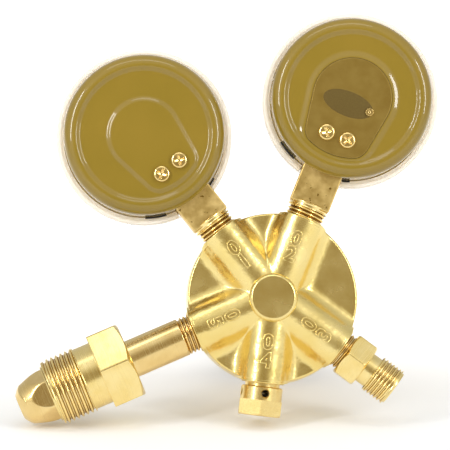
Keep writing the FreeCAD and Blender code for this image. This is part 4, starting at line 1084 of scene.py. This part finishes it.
def pad_reach(angles, radius, foot):
    """Distance from the middle to a pad's outline, found by halving."""
    low, high = np.zeros_like(angles), np.full_like(angles, 40.0)
    for _ in range(40):
        middle = (low + high) / 2
        outside = pad_distance(middle * np.cos(angles), middle * np.sin(angles), radius, foot) > 0.0
        high = np.where(outside, middle, high)
        low = np.where(outside, low, middle)
    return (low + high) / 2


def back_plate():
    """Thin brass plate on the low-pressure gauge's pad, with a bare printed oval."""
    angles = round_angles(360)
    place = gauge_place("low")
    edge = pad_reach(angles, 14.2, 21.9)
    rings = [(0, 0.0), (edge * 0.5, 0.0), (edge - 0.3, 0.0), (edge - 0.1, 0.0), (edge - 0.03, 0.03),
             (edge, 0.1), (edge, 0.25), (edge - 0.1, 0.26), (0, 0.26)]
    sheet = brushed_plate((0, math.radians(port_angles["low"]), 0))
    settle("low_back_plate_piece", [ring_mesh("plate", rings, angles)], place, sheet)
    # painted shadow: a dark ring just outside the plate's edge stands in for the shadow in the thin gap under
    # it
    inner, outer = edge + 0.02, edge + 0.24
    seam = ring_mesh("seam", [(inner, 0.14), (outer, 0.14), (outer, 0.27), (inner, 0.27)], angles, True)
    settle("low_plate_seam", [seam], place, printed_patch())
    half_long, half_wide = 9.45, 4.5
    patch_x, patch_y = 0.56, -2.8
    patch_edge = half_long * half_wide / np.hypot(half_wide * np.cos(angles), half_long * np.sin(angles))
    patch = ring_mesh("patch", [(0, -0.03), (patch_edge - 0.1, -0.03), (patch_edge, -0.02),
                                (patch_edge, 0.02), (0, 0.02)], angles)
    patch.transform(Matrix.Translation((patch_x, patch_y, 0)))
    settle("low_plate_patch", [patch], place, printed_patch())
    eyelet = [(0, -0.09), (0.35, -0.09), (0.5, -0.14), (0.68, -0.09), (0.7, 0.0), (0, 0.0)]
    dot = turned_mesh("dot", eyelet, 32, radius=0.03)
    dot.transform(Matrix.Translation((patch_x - 8.2, patch_y, 0)))
    settle("low_plate_eyelet", [dot], place, brass_screw)


def screw_head():
    """Round head of a case screw, with a cross recess, its top towards -Z."""
    angles = round_angles(128)
    head, height, dome_rise, edge_round = 2.85, 1.6, 0.22, 0.45
    wing_reach, wing_end = 1.9, 1.85

    def depth_at(radius):
        dome = -height + dome_rise * (radius / head) ** 2
        x, y = np.abs(radius * np.cos(angles)), np.abs(radius * np.sin(angles))
        wing = 0.36 + 0.12 * (wing_reach - np.minimum(radius, wing_reach)) / wing_reach
        bar = np.minimum(np.maximum(x - wing, y - wing_end), np.maximum(y - wing, x - wing_end))
        bowl = np.clip(1.35 - 0.45 * radius, 0, 1.2)
        return dome + bowl * (1 - step(bar, -0.1, 0.06))

    rings = [(0, float(depth_at(1e-6)[0]))]
    rings += [(r, depth_at(r)) for r in np.linspace(0.1, head - 0.5, 26)]
    rings += round_over(head - edge_round, -height + dome_rise, edge_round, 0.2, 6)
    rings += [(head, -0.5), (head, -0.08), (head - 0.08, 0), (1.4, 0), (1.4, 3.6), (0, 3.6)]
    return ring_mesh("screw_head", rings, angles)


def case_screws(port, surface):
    """The two screws of a gauge, whose heads stand on its back at a height."""
    head = screw_head()
    weld(head)
    head.transform(Matrix.Rotation(math.radians(25), 4, "Z"))
    row = grown(rows, {"Count": 2, "Start X": -case_screw_spread, "Step X": 2 * case_screw_spread,
                       "Y": -case_screw_offset, "Turn per Piece": 0.55, "Material": brass_screw}, head)
    row.transform(Matrix.Translation((0, 0, surface)))
    settle(port + "_case_screws_piece", [row], gauge_place(port), brass_screw)


def socket_bar(port):
    """Square bar with a taper thread below. Its sides stay raw, and it runs up into the case."""
    reach = gauge_reach[port]
    top = reach - 13.5
    half_x, half_y, edge = socket_width / 2, socket_thickness / 2, 0.45
    past = 0.2
    outline = []
    # each corner's middle by sign, and the way to the next corner
    quarters = (((1, 1), (-1, 0)), ((-1, 1), (0, -1)), ((-1, -1), (1, 0)), ((1, -1), (0, 1)))
    for quarter, ((sx, sy), (way_x, way_y)) in enumerate(quarters):
        for turn in np.linspace(0, math.pi / 2, 4) + quarter * math.pi / 2:
            outline.append((sx * (half_x - edge) + edge * math.cos(turn),
                            sy * (half_y - edge) + edge * math.sin(turn)))
        # points just past each corner keep the faces flat
        side = (half_x if quarter % 2 == 0 else half_y) * 2 - 2 * edge - 2 * past
        for far in (past, side):
            outline.append((outline[-1][0] + way_x * far, outline[-1][1] + way_y * far))
    points = np.array(outline)
    radius = np.hypot(points[:, 0], points[:, 1])
    angles = np.unwrap(np.arctan2(points[:, 1], points[:, 0]))
    start = 35.7
    rings = [(0, start), (radius - 1.2, start), (radius - 0.5, start + 0.05), (radius - 0.12, start + 0.35),
             (radius, start + 0.8), (radius, start + 1.1)]
    rings += [(radius, h) for h in np.linspace(start + 2, top - 1, 12)]
    rings += [(radius, top - 0.3), (radius - 0.3, top), (0, top)]
    stub = turned_mesh("stub", [(0, 20), (taper_root, 20), (taper_root, 34.6), (6.75, 35.1), (6.75, 36.2),
                                (0, 36.2)])
    ridge = thread_ridge(taper_radius, taper_pitch, 27.5, 35.2, brass_socket, end_major=7.05)
    settle(port + "_socket_thread", [stub, ridge], port_place(port),
           thread_brass(port + "_thread_brass", port, taper_root, taper_radius))
    pad = bmesh.new()
    bmesh.ops.create_cube(pad, size=1.0)
    pad_back = gauge_axis_depth - 1.8
    low = reach - case_screw_offset - 6.4
    for vertex in pad.verts:
        vertex.co.x *= socket_width
        vertex.co.y = half_y - 0.5 if vertex.co.y < 0 else pad_back
        vertex.co.z = low if vertex.co.z < 0 else top
    bmesh.ops.bevel(pad, geom=pad.edges[:], offset=0.3, segments=2, affect="EDGES")
    block = bpy.data.meshes.new("socket_pad")
    pad.to_mesh(block)
    pad.free()
    settle(port + "_socket_piece", [ring_mesh("bar", rings, angles), block], port_place(port), brass_socket)


def lens(port):
    """Clear cap whose skirt snaps over the case and is notched for the socket."""
    play, cut = 0.8, 2e-4
    half = math.asin((socket_width / 2 + play) / lens_radius)
    down = -math.pi / 2
    span = np.linspace(down + half, down + 2 * math.pi - half, 200)
    slit = np.linspace(down - half, down + half, 18)
    angles = np.concatenate([slit[:1] + cut, slit[1:-1], slit[-1:] - cut,
                             [down + half + cut], span[1:-1], [down + 2 * math.pi - half - cut]])
    inside = np.arange(len(angles)) < len(slit)
    rim = np.where(inside, gauge_axis_depth + socket_thickness / 2 + play, 13.0)
    # the bead that grips the case stops at the notch
    bore = 30.4
    bead = ((bore, 16.8), (29.5, 16.7), (29.3, 16.5), (29.3, 15.2), (29.5, 15.0), (bore, 14.9))
    rings = [(0, 25.0), (20.0, 25.0), (30.2, 25.0), (bore, 24.9), (bore, 24.6)]
    rings += [(np.where(inside, bore, r), np.where(inside, np.maximum(h, 19.0 - 0.05 * k), h))
              for k, (r, h) in enumerate(bead)]
    rings += [(bore, rim + 0.4), (30.5, rim + 0.08), (30.6, rim), (31.55, rim), (31.72, rim + 0.08),
              (lens_radius, rim + 0.3), (lens_radius, 18.6), (lens_radius, 25.6), (31.66, 26.3),
              (31.2, 26.9), (30.5, 27.18), (29.8, 27.2), (20, 27.2), (0, 27.2)]
    settle(port + "_lens_piece", [ring_mesh("lens", rings, angles)], gauge_place(port), plastic_clear)


def dial(port, top_value, majors, minors):
    """White dial with a scale of plain numbers."""
    plate = turned_mesh("dial", [(1.6, 19.4), (27.2, 19.4), (27.2, 19.9), (1.6, 19.9)], 128, closed=True,
                        radius=0.05)
    settle(port + "_dial_piece", [plate], gauge_place(port), enamel_white)
    start, sweep = math.radians(225), -math.radians(270)
    meshes = [grown(ticks, {"Count": majors * parts + 1, "First Angle": start, "Step": sweep / majors / parts,
                            "Outer Radius": dial_scale_radius, "Length": length, "Width": width,
                            "Material": enamel_black})
              for parts, length, width in ((1, 3.4, 0.5), (minors, 1.9, 0.22))]
    for k in range(majors + 1):
        mesh = text_mesh(str(int(top_value * k / majors)), 3.6, extrude=0.03)
        angle = start + sweep * k / majors
        mesh.transform(Matrix.Translation((dial_number_radius * math.cos(angle),
                                           dial_number_radius * math.sin(angle), dial_face)))
        meshes.append(mesh)
    settle(port + "_dial_scale", meshes, gauge_place(port), enamel_black, smooth=False)


def arc_strip(inner, outer, low, high, start, end):
    """Closed strip of rectangular section along an arc, from start to end in degrees."""
    turns = np.radians(np.linspace(start, end, max(4, int((end - start) / 1.5))))
    vertices, faces = [], []
    for turn in turns:
        for radius, height in ((inner, low), (outer, low), (outer, high), (inner, high)):
            vertices.append((radius * math.cos(turn), radius * math.sin(turn), height))
    for k in range(len(turns) - 1):
        for j in range(4):
            a, b = 4 * k + j, 4 * k + (j + 1) % 4
            faces.append((a, b, b + 4, a + 4))
    last = 4 * (len(turns) - 1)
    faces += [(3, 2, 1, 0), (last, last + 1, last + 2, last + 3)]
    mesh = bpy.data.meshes.new("strip")
    mesh.from_pydata(vertices, [], faces)
    return mesh


def stem_seal(port):
    """Black rubber packing between the case and the lens on both sides of the socket, longer on one side.
    The low-pressure gauge has a small tab more."""
    low, high = 12.4, 14.5
    strips = [arc_strip(29.15, 29.75, low, high, start, end)
              for start, end in ((-67.5, -52.5), (-111.0, -105.5))]
    if port == "low":
        strips.append(arc_strip(29.1, 29.8, low, high, 141, 145))
    settle(port + "_stem_seal", strips, gauge_place(port), rubber_black, smooth=False)


for side, pad in (("high", (12.9, 21.4, 1.15, 1.15)), ("low", (15.3, 22.9, 0.9, 2.1))):
    case(side, *pad)
    socket_bar(side)
    lens(side)
    stem_seal(side)
case_screws("high", 0.25)
case_screws("low", 0.0)
back_plate()
dial("high", 4000, 8, 5)
dial("low", 60, 6, 10)


# Springs


def spring(node, mean, wire, start, end, turns, place):
    """Coil spring along a place's Z from start to end."""
    length = end - start
    coil = grown(coils, {"Mean Radius": mean, "Wire Radius": wire, "Length": length, "Turns": turns,
                         "Steps per Turn": 40, "Wire Sides": 12, "Material": steel_spring})
    coil.transform(Matrix.Translation((0, 0, start)))
    piece = settle(node + "_piece", [coil], place, steel_spring)
    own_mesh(piece)


relief_place = port_place("relief")
spring("range_spring", 9.4, 1.4, 32.3, 60.0, 6.5, body_place)
spring("valve_spring", 2.9, 0.4, 5.0, 11.0, 5.0, body_place)
spring("relief_spring", 3.0, 0.45, 31.9, 39.6, 5.0, relief_place)


# The other pieces keep their drawn shape

kept = {
    "valve_nozzle": brass_small, "valve_poppet": brass_small, "valve_seat": plastic_seat,
    "diaphragm_post": brass_small, "diaphragm_plate": brass_small, "diaphragm": rubber_black,
    "slip_ring": steel_plated, "bonnet": brass_bonnet, "spring_button": steel_plated,
    "adjusting_screw": steel_plated, "adjusting_knob": nylon_black, "knob_cap": nylon_black,
    "inlet_filter": bronze_filter, "relief_housing": brass_relief, "relief_disc": brass_small,
    "relief_plug": brass_small,
}
for side in ("high", "low"):
    for part in ("pressure_tube", "tube_tip", "movement_frame", "sector_gear", "link", "pinion"):
        kept[side + "_" + part] = brass_small
    kept[side + "_pointer"] = enamel_black
for node, material in kept.items():
    smooth_copy(node, material)
